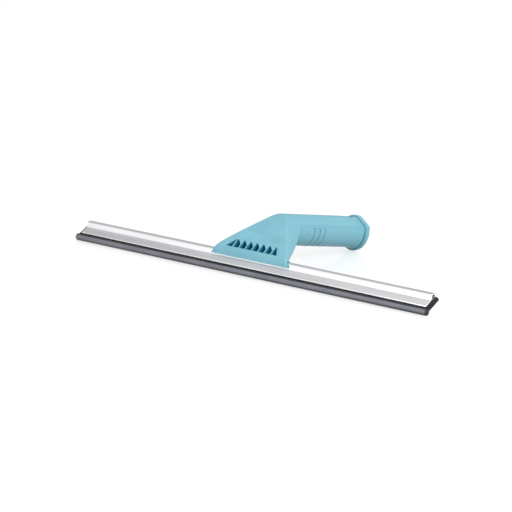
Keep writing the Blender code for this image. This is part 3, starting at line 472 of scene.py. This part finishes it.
RAIL_HALF = 0.222
RAIL_SLOPE = math.radians(31.0)
UP_FLANK = Vector((math.cos(RAIL_SLOPE), math.sin(RAIL_SLOPE)))
OFF_FLANK = Vector((-math.sin(RAIL_SLOPE), math.cos(RAIL_SLOPE)))
RAIL_WALL = 0.0012
LOWER_LIP = 0.0006          # set back from the upper lip, along the flank
CHANNEL_FLOOR = 0.0048      # below the flank
CHANNEL_END = 0.0149        # from the lip, along the flank
RAIL_DEPTH = 0.0161
RAIL_DROP = 0.0060
GROOVE_IN = 0.0085          # from the lip to the foot of the ridge
GROOVE = LIP_EDGE + UP_FLANK * GROOVE_IN
RIDGE_HEIGHT = 0.0054
RIDGE_TOP = GROOVE.y + RIDGE_HEIGHT
FRONT_CORNER = Vector((0.0010, -0.0014))    # from above the groove, at the ridge's height
FRONT_ROUND = Vector((0.0018, -0.0005))
CREST_FRONT = Vector((0.0040, 0.0))
CREST_BACK = Vector((0.0060, -0.0001))
REAR_ROUND = Vector((0.0075, -0.0012))
REAR_CORNER = Vector((0.0082, -0.0026))


def on_flank(along, off):
    """Point in Y and Z, from the lip up the flank and out of it."""
    return LIP_EDGE + UP_FLANK * along + OFF_FLANK * off


def rail_outline(grow):
    """The rail's outside; grown by a gap, it is the seat of what is fitted over it."""
    front = Vector((GROOVE.x, RIDGE_TOP))
    return [on_flank(-grow, -RAIL_WALL - grow), on_flank(-grow, grow),
            on_flank(GROOVE_IN - grow, grow),
            front + FRONT_CORNER + Vector((-grow, 0.0)),
            front + FRONT_ROUND + Vector((-grow / 2, grow / 2)),
            front + CREST_FRONT + Vector((0.0, grow)), front + CREST_BACK + Vector((0.0, grow)),
            front + REAR_ROUND + Vector((grow / 2, grow / 2)),
            front + REAR_CORNER + Vector((grow, 0.0)),
            on_flank(RAIL_DEPTH + grow, -RAIL_DROP - grow),
            on_flank(LOWER_LIP - grow, -RAIL_DROP - grow)]


ACROSS = Vector((1.0, 0.0, 0.0))
Y_AXIS = Vector((0.0, 1.0, 0.0))
Z_AXIS = Vector((0.0, 0.0, 1.0))
channel = [on_flank(LOWER_LIP, -CHANNEL_FLOOR), on_flank(CHANNEL_END, -CHANNEL_FLOOR),
           on_flank(CHANNEL_END, -RAIL_WALL)]
rail = prism("rail_extrusion", rail_outline(0.0) + channel, Vector(), Y_AXIS, Z_AXIS,
             -RAIL_HALF, RAIL_HALF)
round_edge(rail, LIP_EDGE, LIP_RADIUS)
soften(rail, RAIL_EDGE_RADIUS)
HOLLOW_START = 0.0101       # from the lip, along the flank
HOLLOW_END = 0.0147
HOLLOW_LIFT = 0.0002
HOLLOW_CHAMFER = Vector((0.0004, -0.0003))
HOLLOW_SHOULDER = 0.0010
HOLLOW_LEAN = 0.0008
hollow_front = on_flank(HOLLOW_START, HOLLOW_LIFT)
hollow_rear = on_flank(HOLLOW_END, HOLLOW_LIFT)
ceiling = RIDGE_TOP - RAIL_WALL
hollow = [hollow_front, Vector((hollow_front.x, ceiling)) + HOLLOW_CHAMFER,
          Vector((hollow_front.x + HOLLOW_SHOULDER, ceiling)),
          Vector((hollow_rear.x - HOLLOW_LEAN, ceiling)), hollow_rear]
apply_cut(rail, prism("ridge_hollow", hollow, Vector(), Y_AXIS, Z_AXIS,
                      -1.1 * RAIL_HALF, 1.1 * RAIL_HALF))
rail.data.set_sharp_from_angle(angle=SHARP_EDGE)
fit(rail, aluminium, "rail", "aluminium", "rail")


# ------------------------------------------------------------------ rubber blade and its clips
# A solid black rubber strip with a round nose, gripped in the rail's channel.  A bent steel clip
# pinches it at each end so that it cannot creep out.
RUBBER_EDGE_RADIUS = 0.0002
CLIP_EDGE_RADIUS = 0.00025
WELD = 0.000002
FLAT_WITHIN = math.radians(0.6)


def copy_of(node, name):
    """A clean copy of a CAD node, with its flat faces made whole."""
    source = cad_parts[node]
    mesh = source.data.copy()
    mesh.transform(source.matrix_world)
    shape = bmesh.new()
    shape.from_mesh(mesh)
    bmesh.ops.remove_doubles(shape, verts=shape.verts, dist=WELD)
    bmesh.ops.dissolve_limit(shape, angle_limit=FLAT_WITHIN, verts=shape.verts,
                             edges=shape.edges)
    shape.to_mesh(mesh)
    shape.free()
    mesh.materials.clear()
    piece = bpy.data.objects.new(name, mesh)
    bpy.context.scene.collection.objects.link(piece)
    return piece


blade = soften(copy_of("rubber_blade", "rubber_strip"), RUBBER_EDGE_RADIUS)
fit(blade, rubber, "blade", "rubber", "rubber_blade")
blade.data.materials.append(shaded_end_rubber)
for face in blade.data.polygons:
    if abs(face.normal.x) > 0.5:        # a sawn end: painted shade, its painted light band is dimmer
        face.material_index = 1
for side in ("left", "right"):
    clip = soften(copy_of("blade_clip_" + side, "pinch_clip_" + side), CLIP_EDGE_RADIUS)
    fit(clip, steel, "blade", "steel", "blade_clip_" + side)


# ------------------------------------------------------------------ upper shell
# One moulding: a sloping triangular face, a side strip folded back along each of its edges, and
# the roof of the grip.  Its foot straddles the rail, and a row of ribbed openings crosses the face.
HANDLE_SLOPE = math.radians(10.0)
AXIS = Vector((0.0, math.cos(HANDLE_SLOPE), -math.sin(HANDLE_SLOPE)))
RISE = Vector((0.0, math.sin(HANDLE_SLOPE), math.cos(HANDLE_SLOPE)))
COLLAR_FOOT = Vector((0.0, 0.075243, 0.002954))
GRIP_HEIGHT = 0.0298
CREASE_HEIGHT = 0.0216
CREASE_HALF = 0.0150
ROOF_EDGE_HALF = 0.0158     # the roof is drawn a little past the crease, then trimmed
ROOF_EDGE_HEIGHT = 0.0210
ROOF_FLAT_HALF = 0.0035
SHELL_WALL = 0.0022
GAP = 0.0003

FACE_TILT = math.radians(34.5)
FACE_UP = Vector((0.0, math.cos(FACE_TILT), math.sin(FACE_TILT)))
FACE_IN = Vector((0.0, math.sin(FACE_TILT), -math.cos(FACE_TILT)))
HEAD_FOOT = Vector((0.0, -0.069266, 0.013355))
HEAD_KNEE = Vector((0.0, -0.067566, 0.022255))
FOOT_HALF = 0.0508
KNEE_HALF = 0.0450
TOP_HALF = 0.0063
FOLD_CURVE = 1.13
KNEE_BLEND = 0.0040
BEND_RADIUS = 0.0080
FOLD_ROUND = 0.0022
FOLD_ROUND_INSIDE = 0.0008
FOLD_STEPS = 6
SIDE_LEAN = 0.8             # cosine of the side strips' lean
STRIP_FOOT = Vector((0.0445, -0.063066, 0.018555))
STRIP_BOW = Vector((0.0278, -0.034500, 0.027690))
STRIP_TOP = Vector((0.0158, -0.016341, 0.040427))
STRIP_FOOT_DROP = 0.0054
BEND_SHARE = 0.82           # of the strips' length, up to where the face bends into the roof
BAND_ROWS, FACE_ROWS, BEND_ROWS = 16, 34, 12
BAND_SWELL = Vector((0.0, -0.0010, 0.0036))
BAND_TOP_PULL = 0.0055
BAND_CURVE = 1.1
DROP_FADE = 1.15            # the strips' drop is gone a little before the band ends
STRIP_RISES = 0.7           # share of the band where the strips' edge starts to climb
BEND_CURVE = 0.7
FLANGE = 0.0025             # of the collar that caps the grip
ROOF_STATIONS = (0.080, 0.060, 0.040, 0.020, FLANGE + GAP)


def on_handle(across, back, height):
    """Point across the grip, back from the collar's end face, and above the underside."""
    return COLLAR_FOOT + ACROSS * across - AXIS * back + RISE * height


def through(start, middle, end, share):
    """Curve from start to end that passes through middle."""
    pull = 2 * middle - (start + end) / 2
    return start * (1 - share) ** 2 + pull * 2 * share * (1 - share) + end * share ** 2


def bezier(first, second, third, fourth, share):
    """Cubic curve, pulled towards its second and third points."""
    rest = 1 - share
    return (first * rest ** 3 + second * 3 * share * rest ** 2
            + third * 3 * share ** 2 * rest + fourth * share ** 3)


def roof_corner():
    """Where the face's plane meets the roof, and how far up the face that is."""
    gap = on_handle(0.0, 0.0, GRIP_HEIGHT) - HEAD_KNEE
    reach = ((gap.y * AXIS.z - gap.z * AXIS.y)
             / (FACE_UP.y * AXIS.z - FACE_UP.z * AXIS.y))
    return HEAD_KNEE + FACE_UP * reach, reach


def half_section(middle, half, free, inward):
    """Outer and inner points of one row's right half, with a rounded fold."""
    lean = SHELL_WALL / SIDE_LEAN
    fold = middle + ACROSS * half
    inner_fold = fold + inward * SHELL_WALL - ACROSS * min(lean, half * 0.45)
    inner_free = free - ACROSS * lean
    halves = []
    for corner, edge, rounding in ((fold, free, FOLD_ROUND), (inner_fold, inner_free,
                                                              FOLD_ROUND_INSIDE)):
        down = edge - corner
        reach = min(rounding, corner.x * 0.9, down.length * 0.4)
        before = corner - ACROSS * reach
        after = corner + down.normalized() * reach
        points = [Vector((0.0, corner.y, corner.z))]
        for step in range(FOLD_STEPS + 1):
            share = step / FOLD_STEPS
            points.append(before * (1 - share) ** 2 + corner * 2 * share * (1 - share)
                          + after * share ** 2)
        points.append(edge)
        halves.append(points)
    return halves


def shell_rows():
    """The shell's sections, from the head's foot up the face and back along the roof."""
    rows = []
    corner, reach = roof_corner()
    band_end = HEAD_KNEE + FACE_UP * KNEE_BLEND
    band_pull = HEAD_FOOT + BAND_SWELL
    band_half = TOP_HALF + (KNEE_HALF - TOP_HALF) * (1 - (KNEE_BLEND / reach) ** FOLD_CURVE)
    for row in range(BAND_ROWS):
        share = row / BAND_ROWS
        spot = bezier(HEAD_FOOT, band_pull, band_end - FACE_UP * BAND_TOP_PULL, band_end,
                      share)
        half = FOOT_HALF + (band_half - FOOT_HALF) * share ** BAND_CURVE
        drop = Vector((0.0, 0.0, STRIP_FOOT_DROP * max(0.0, 1 - share * DROP_FADE)))
        climb = max(0.0, share - STRIP_RISES) / (1 - STRIP_RISES)
        along = climb * KNEE_BLEND / reach * BEND_SHARE
        inward = Vector((0.0, 1.0, 0.0)).lerp(FACE_IN, share ** 2).normalized()
        rows.append(half_section(spot, half, through(STRIP_FOOT, STRIP_BOW, STRIP_TOP, along)
                                 - drop, inward))
    face_end = reach - BEND_RADIUS * math.tan((FACE_TILT + HANDLE_SLOPE) / 2)
    for row in range(FACE_ROWS):
        along = KNEE_BLEND + (face_end - KNEE_BLEND) * row / (FACE_ROWS - 1)
        half = KNEE_HALF + (TOP_HALF - KNEE_HALF) * (along / reach) ** FOLD_CURVE
        free = through(STRIP_FOOT, STRIP_BOW, STRIP_TOP, along / face_end * BEND_SHARE)
        rows.append(half_section(HEAD_KNEE + FACE_UP * along, half, free, FACE_IN))
    bend_from = HEAD_KNEE + FACE_UP * face_end
    bend_to = corner + AXIS * (reach - face_end)
    last_half = KNEE_HALF + (TOP_HALF - KNEE_HALF) * (face_end / reach) ** FOLD_CURVE
    for row in range(1, BEND_ROWS + 1):
        share = row / BEND_ROWS
        spot = through(bend_from, (bend_from + bend_to + 2 * corner) / 4, bend_to, share)
        half = last_half + (ROOF_FLAT_HALF - last_half) * share ** BEND_CURVE
        free = through(STRIP_FOOT, STRIP_BOW, STRIP_TOP,
                       BEND_SHARE + (1 - BEND_SHARE) * share)
        rows.append(half_section(spot, half, free, FACE_IN.lerp(-RISE, share).normalized()))
    for back in ROOF_STATIONS:
        edge = on_handle(ROOF_EDGE_HALF, back, ROOF_EDGE_HEIGHT)
        rows.append(half_section(on_handle(0.0, back, GRIP_HEIGHT), ROOF_FLAT_HALF, edge, -RISE))
    return rows


def mirrored_ring(halves):
    """One ring: the outside from left to right, then the inside back again."""
    outer, inner = halves
    outer_left = [Vector((-spot.x, spot.y, spot.z)) for spot in reversed(outer[1:])]
    inner_left = [Vector((-spot.x, spot.y, spot.z)) for spot in inner[1:]]
    return outer_left + outer + list(reversed(inner)) + inner_left


def cylinder(name, radius, foot, direction, length, steps=48):
    """A round bar from a foot along a direction."""
    side = direction.orthogonal().normalized()
    other = direction.cross(side)
    ring = [side * (radius * math.cos(2 * math.pi * step / steps))
            + other * (radius * math.sin(2 * math.pi * step / steps)) for step in range(steps)]
    return ring_loft(name, [[foot + spot for spot in ring],
                            [foot + direction * length + spot for spot in ring]])


upper = ring_loft("upper_shell_moulding", [mirrored_ring(halves) for halves in shell_rows()])

# grille: the face is thicker round the openings, and the ribs between them are as deep
CELLS = 8
CELL_PITCH = 0.00815
RIB = 0.00115
WINDOW_FOOT = 0.0008
WINDOW_HEIGHT = 0.0095
WINDOW_TAPER = 0.0068
GRILLE_DEPTH = 0.0036
WEB_HEIGHT = 0.45           # share of an opening's height where its slanted web starts
GRILLE_SHADE = 0.0003       # the painted shade starts this far in
GRILLE_BORDER = 0.0014
END_TIP, LAST_TIP, WEB_TIP = 0.0009, 0.0012, 0.0013     # widths of the openings' narrow ends
CUT_PAST = 0.0030           # how far a tool starts outside what it cuts
widest = CELLS * CELL_PITCH / 2
backing_low = WINDOW_FOOT - GRILLE_BORDER
backing_high = WINDOW_FOOT + WINDOW_HEIGHT + GRILLE_BORDER
backing_foot = widest + GRILLE_BORDER
backing_top = backing_foot - WINDOW_TAPER
backing_outline = [(-backing_foot, backing_low), (backing_foot, backing_low),
                   (backing_top, backing_high),
                   (GRILLE_BORDER + WINDOW_TAPER - widest, backing_high)]
backing = prism("grille_backing", backing_outline, HEAD_KNEE, ACROSS, FACE_UP,
                -GRILLE_DEPTH, -SHELL_WALL / 2)
apply_cut(upper, backing, "UNION")
for cell in range(CELLS):
    left = -widest + cell * CELL_PITCH + (RIB / 2 if cell else 0.0)
    right = -widest + (cell + 1) * CELL_PITCH - (RIB / 2 if cell < CELLS - 1 else 0.0)
    low, high = WINDOW_FOOT, WINDOW_FOOT + WINDOW_HEIGHT
    if cell == 0:
        outline = [(left, low), (right, low), (right, high), (right - END_TIP, high)]
    elif cell == CELLS - 1:
        outline = [(left, low), (right, low), (left + LAST_TIP, high), (left, high)]
    else:
        outline = [(left, low), (right, low), (right, low + WEB_HEIGHT * WINDOW_HEIGHT),
                   (left + WEB_TIP, high), (left, high)]
    cutter = prism("opening", outline, HEAD_KNEE, ACROSS, FACE_UP, -2 * GRILLE_DEPTH,
                   CUT_PAST)
    apply_cut(upper, cutter)

# a shallow bare plate above the openings
PLATE_HALF = 0.0197
PLATE_LOW = 0.0136
PLATE_HIGH = 0.0233
PLATE_SUNK = 0.00022
plate = prism("bare_plate", [(-PLATE_HALF, PLATE_LOW), (PLATE_HALF, PLATE_LOW),
                             (PLATE_HALF, PLATE_HIGH), (-PLATE_HALF, PLATE_HIGH)],
              HEAD_KNEE, ACROSS, FACE_UP, -PLATE_SUNK, CUT_PAST)
apply_cut(upper, plate)

RAIL_CLEARANCE = 0.0009
seat = prism("rail_seat", rail_outline(RAIL_CLEARANCE), Vector(), Y_AXIS, Z_AXIS,
             -RAIL_HALF, RAIL_HALF)
apply_cut(upper, seat)
BUTTON_START = 0.0090
BUTTON_ROOM = 0.0130
BUTTON_HALF = 0.0038
pocket_half = BUTTON_HALF + GAP
pocket_floor = GRIP_HEIGHT - 2 * SHELL_WALL
pocket_top = GRIP_HEIGHT + SHELL_WALL
pocket = prism("button_pocket", [(-pocket_half, pocket_floor), (pocket_half, pocket_floor),
                                 (pocket_half, pocket_top), (-pocket_half, pocket_top)],
               COLLAR_FOOT, ACROSS, RISE, BUTTON_START, BUTTON_START + BUTTON_ROOM)
apply_cut(upper, pocket)
MOULDED_EDGE_RADIUS = 0.00030
MOULDED_SHARP = math.radians(38.0)
soften(upper, MOULDED_EDGE_RADIUS, 2, MOULDED_SHARP)
TROUGH_HALF = 0.0168        # clears the grip shell and the roof's overhanging edge
TROUGH_LENGTH = 0.0970
trough = prism("trough_room", [(-TROUGH_HALF, 0.0), (TROUGH_HALF, 0.0),
                               (TROUGH_HALF, CREASE_HEIGHT), (-TROUGH_HALF, CREASE_HEIGHT)],
               COLLAR_FOOT, ACROSS, RISE, -GAP, TROUGH_LENGTH)
apply_cut(upper, trough)
upper.data.set_sharp_from_angle(angle=MOULDED_SHARP)
fit(upper, turquoise, "handle", "turquoise_plastic", "upper_shell")

# painted shade: the walls of the openings are coloured deeper than the face, for the shade and
# bounce inside them
upper.data.materials.append(opening_shade_turquoise)
for face in upper.data.polygons:
    reach = face.center - HEAD_KNEE
    along = reach.dot(FACE_UP)
    if (reach.dot(FACE_IN) > GRILLE_SHADE and abs(reach.x) < widest
            and abs(face.normal.dot(FACE_IN)) < 0.5
            and WINDOW_FOOT - GRILLE_SHADE < along < WINDOW_FOOT + WINDOW_HEIGHT + GRILLE_SHADE):
        face.material_index = 1


# ------------------------------------------------------------------ grip shell
# The lower half of the grip: a trough that the roof closes.  Three finger lines are scribed round
# its belly, and it swells under the collar.
GRIP_HALF = 0.0153
BELLY_HEIGHT = 0.0170
GRIP_LENGTH = 0.0967
FLARE_START = 0.0125
FLARE_END = 0.0058
FLARE_PROUD = 0.0017
FLARE_STEP = 0.0001
FLARE_STEPS = 8
FLARE_CURVE = 1.6
BELLY_STEPS = 44
CREASE_GAP = 0.00005        # between the trough's edge and the roof
SWELL_SPREAD = 0.7          # the flare reaches this evenly round the belly
GRIP_STATIONS = (0.030, 0.050, 0.070, 0.085, GRIP_LENGTH)
PLUG_LENGTH = 0.0070
SCRIBE_STATIONS = (0.0602, 0.0676, 0.0751)
SCRIBE_RADIUS = 0.00072
SCRIBE_SUNK = 0.0002
SCRIBE_STEPS = 60
SCRIBE_PAST = math.radians(6.0)         # past the belly's widest line at each end
HOOK_SHARE = 0.035
HOOK_LENGTH = 0.0022


def belly_ring(back, swell):
    """Closed outline of the trough's wall across the grip."""
    lip = CREASE_HEIGHT - CREASE_GAP
    outer = [Vector((CREASE_HALF, lip))]
    inner = []
    for step in range(BELLY_STEPS + 1):
        angle = -math.pi * step / BELLY_STEPS
        proud = swell * max(0.0, -math.sin(angle)) ** SWELL_SPREAD
        outer.append(Vector(((GRIP_HALF + proud) * math.cos(angle),
                             BELLY_HEIGHT + (BELLY_HEIGHT + proud) * math.sin(angle))))
        inner.append(Vector(((GRIP_HALF - SHELL_WALL) * math.cos(angle),
                             BELLY_HEIGHT + (BELLY_HEIGHT - SHELL_WALL) * math.sin(angle))))
    outer.append(Vector((-CREASE_HALF, lip)))
    lean = SHELL_WALL / SIDE_LEAN
    inner = [Vector((CREASE_HALF - lean, lip))] + inner + [Vector((lean - CREASE_HALF, lip))]
    return [on_handle(spot.x, back, spot.y) for spot in outer + list(reversed(inner))]


grip_rings = [belly_ring(FLANGE + GAP, 0.0), belly_ring(FLARE_END - FLARE_STEP, 0.0)]
for step in range(FLARE_STEPS + 1):
    share = step / FLARE_STEPS
    back = FLARE_END + (FLARE_START - FLARE_END) * share
    grip_rings.append(belly_ring(back, FLARE_PROUD * (1 - share) ** FLARE_CURVE))
for back in GRIP_STATIONS:
    grip_rings.append(belly_ring(back, 0.0))
grip = ring_loft("grip_trough", grip_rings)
plug_outline = []
for step in range(BELLY_STEPS + 1):
    angle = -math.pi * step / BELLY_STEPS
    plug_outline.append(((GRIP_HALF - SHELL_WALL / 2) * math.cos(angle),
                         BELLY_HEIGHT + (BELLY_HEIGHT - SHELL_WALL / 2) * math.sin(angle)))
plug = prism("grip_nose", plug_outline, COLLAR_FOOT, ACROSS, RISE,
             GRIP_LENGTH - GAP - PLUG_LENGTH, GRIP_LENGTH - GAP)
apply_cut(grip, plug, "UNION")


def scribed_line(back):
    """A round tool path along the belly, hooked towards the head at both ends."""
    curve = bpy.data.curves.new("scribe", "CURVE")
    curve.dimensions = "3D"
    curve.bevel_depth = SCRIBE_RADIUS
    curve.bevel_resolution = 3
    curve.use_fill_caps = True
    spots = []
    for step in range(SCRIBE_STEPS + 1):
        share = step / SCRIBE_STEPS
        angle = SCRIBE_PAST - (math.pi + 2 * SCRIBE_PAST) * share
        end = min(share, 1 - share)
        hook = max(0.0, 1 - end / HOOK_SHARE) ** 2 * HOOK_LENGTH
        spots.append(on_handle((GRIP_HALF - SCRIBE_SUNK) * math.cos(angle), back + hook,
                               BELLY_HEIGHT + (BELLY_HEIGHT - SCRIBE_SUNK) * math.sin(angle)))
    spline = curve.splines.new("POLY")
    spline.points.add(len(spots) - 1)
    for point, spot in zip(spline.points, spots):
        point.co = (*spot, 1.0)
    holder = bpy.data.objects.new("scribe", curve)
    bpy.context.scene.collection.objects.link(holder)
    bpy.context.view_layer.update()
    mesh = bpy.data.meshes.new_from_object(
        holder.evaluated_get(bpy.context.evaluated_depsgraph_get()))
    bpy.data.objects.remove(holder, do_unlink=True)
    shape = bmesh.new()
    shape.from_mesh(mesh)
    bmesh.ops.remove_doubles(shape, verts=shape.verts, dist=WELD)
    bmesh.ops.recalc_face_normals(shape, faces=shape.faces)
    shape.to_mesh(mesh)
    shape.free()
    tool = bpy.data.objects.new("scribe_tool", mesh)
    bpy.context.scene.collection.objects.link(tool)
    return tool


for back in SCRIBE_STATIONS:
    apply_cut(grip, scribed_line(back))
SCREW_STATIONS = (0.083, 0.065)
BOSS_RADIUS = 0.0048
BOSS_HEIGHT = 0.0079
SHAFT_ROOM = 0.0018
HEAD_ROOM = 0.0033
HEAD_ROOM_START = -0.004    # below the grip's underside
for back in SCREW_STATIONS:
    boss = cylinder("boss", BOSS_RADIUS, on_handle(0.0, back, SHELL_WALL / 2), RISE, BOSS_HEIGHT)
    apply_cut(grip, boss, "UNION")
    shaft_room = cylinder("shaft_room", SHAFT_ROOM, on_handle(0.0, back, SHELL_WALL / 2), RISE,
                          2 * BOSS_HEIGHT)
    apply_cut(grip, shaft_room)
    head_room = cylinder("head_room", HEAD_ROOM, on_handle(0.0, back, HEAD_ROOM_START), RISE,
                         BOSS_HEIGHT)
    apply_cut(grip, head_room)
grip.data.shade_smooth()
HANDLE_SHARP = math.radians(32.0)
grip.data.set_sharp_from_angle(angle=HANDLE_SHARP)
fit(grip, turquoise, "handle", "turquoise_plastic", "grip_shell")


# ------------------------------------------------------------------ collar and pole socket
# One moulding that caps the grip: a rounded rim round a flat end, and a tapered sleeve inside the
# grip for the tip of an extension pole, with a hole for the release button's stud.
RIM_PROUD = 0.0030
RIM_ROOF_PROUD = 0.0015
RIM_LENGTH = 0.0045
RIM_CORNER = 0.0035
RIM_CORNER_LEAST = 0.0006
RIM_CORNER_STEPS = 5
CORNER_LIFT = 0.3           # of the growth, at the crease and at the roof's edge
RIM_PROFILE = ((0.0, 0.0009), (0.0001, 0.0005), (0.0004, 0.00018), (0.0009, 0.0),
               (0.0036, 0.0), (0.0041, 0.0002), (0.0044, 0.0006), (RIM_LENGTH, 0.0011))
ROOF_TRIM = 0.6             # of the profile's trim, above the roof
CAP_ROOM_END = 0.0060
SOCKET_HEIGHT = 0.0131
SLEEVE_RADIUS = 0.0106
SLEEVE_END = 0.0558
SOCKET_SIDES = 72
SOCKET_PROFILE = ((-0.004, 0.0093), (-0.0001, 0.0100), (0.0006, 0.0093), (0.054, 0.0088))
BUTTON_LENGTH = 0.0093


def rim_outline(grow, roof_grow):
    """The rim across the handle: a belly, two sloping roofs and softened corners."""
    corners = []
    for step in range(BELLY_STEPS + 1):
        angle = -math.pi * step / BELLY_STEPS
        corners.append(Vector(((GRIP_HALF + grow) * math.cos(angle),
                               BELLY_HEIGHT + (BELLY_HEIGHT + grow) * math.sin(angle))))
    crease = Vector((CREASE_HALF + grow, CREASE_HEIGHT + grow * CORNER_LIFT))
    flat = Vector((ROOF_FLAT_HALF + grow * CORNER_LIFT, GRIP_HEIGHT + roof_grow))
    soft = min(RIM_CORNER, max(RIM_CORNER_LEAST, grow))
    left_crease = Vector((-crease.x, crease.y))
    left_flat = Vector((-flat.x, flat.y))
    for before, corner, after in ((corners[-1], left_crease, left_flat),
                                  (left_crease, left_flat, flat),
                                  (left_flat, flat, crease), (flat, crease, corners[0])):
        first = corner + (before - corner).normalized() * min(soft, (before - corner).length / 2.2)
        last = corner + (after - corner).normalized() * min(soft, (after - corner).length / 2.2)
        for step in range(RIM_CORNER_STEPS + 1):
            share = step / RIM_CORNER_STEPS
            corners.append(first * (1 - share) ** 2 + corner * 2 * share * (1 - share)
                           + last * share ** 2)
    return corners


rim_rings = []
for back, trim in RIM_PROFILE:
    outline = rim_outline(RIM_PROUD - trim, RIM_ROOF_PROUD - trim * ROOF_TRIM)
    rim_rings.append([on_handle(spot.x, back, spot.y) for spot in outline])
collar = ring_loft("collar_and_socket", rim_rings)
cap_room = [(spot.x, spot.y) for spot in rim_outline(GAP, GAP)]
apply_cut(collar, prism("shell_room", cap_room, COLLAR_FOOT, ACROSS, RISE, FLANGE,
                        CAP_ROOM_END))
sleeve = cylinder("sleeve", SLEEVE_RADIUS, on_handle(0.0, FLANGE / 2, SOCKET_HEIGHT), -AXIS,
                  SLEEVE_END - FLANGE / 2, SOCKET_SIDES)
apply_cut(collar, sleeve, "UNION")
bore_rings = []
for back, radius in SOCKET_PROFILE:
    centre = on_handle(0.0, back, SOCKET_HEIGHT)
    turns = [2 * math.pi * step / SOCKET_SIDES for step in range(SOCKET_SIDES)]
    bore_rings.append([centre + ACROSS * radius * math.cos(turn) + RISE * radius * math.sin(turn)
                       for turn in turns])
apply_cut(collar, ring_loft("bore", bore_rings))
button_middle = BUTTON_START + BUTTON_ROOM - BUTTON_LENGTH / 2 - GAP
apply_cut(collar, cylinder("stud_room", SHAFT_ROOM, on_handle(0.0, button_middle, SOCKET_HEIGHT),
                           RISE, 2 * SLEEVE_RADIUS))
collar.data.shade_smooth()
collar.data.set_sharp_from_angle(angle=HANDLE_SHARP)
fit(collar, turquoise, "handle", "turquoise_plastic", "pole_socket")


# ------------------------------------------------------------------ release, clamp and screws
# The release button and its spring, the clamp's moulded saddle and bent steel plate, and the
# plated screws.
SCREW_EDGE_RADIUS = 0.00015
button = soften(copy_of("release_button", "push_button"), MOULDED_EDGE_RADIUS)
fit(button, turquoise, "button", "turquoise_plastic", "release_button")
spring = copy_of("release_spring", "coil_spring")
spring.data.shade_smooth()
fit(spring, steel, "handle", "steel", "release_spring")
saddle = soften(copy_of("rail_saddle", "clamp_saddle"), MOULDED_EDGE_RADIUS)
fit(saddle, saddle_shade_turquoise, "handle", "dark_plastic", "rail_saddle")
plate = soften(copy_of("clamp_plate", "clamp_jaw"), MOULDED_EDGE_RADIUS)
fit(plate, steel, "handle", "steel", "clamp_plate")
for node in ("clamp_screw_left", "clamp_screw_right", "shell_screw_front", "shell_screw_rear"):
    screw = soften(copy_of(node, node + "_detailed"), SCREW_EDGE_RADIUS, 2)
    fit(screw, steel, "handle", "steel", node)
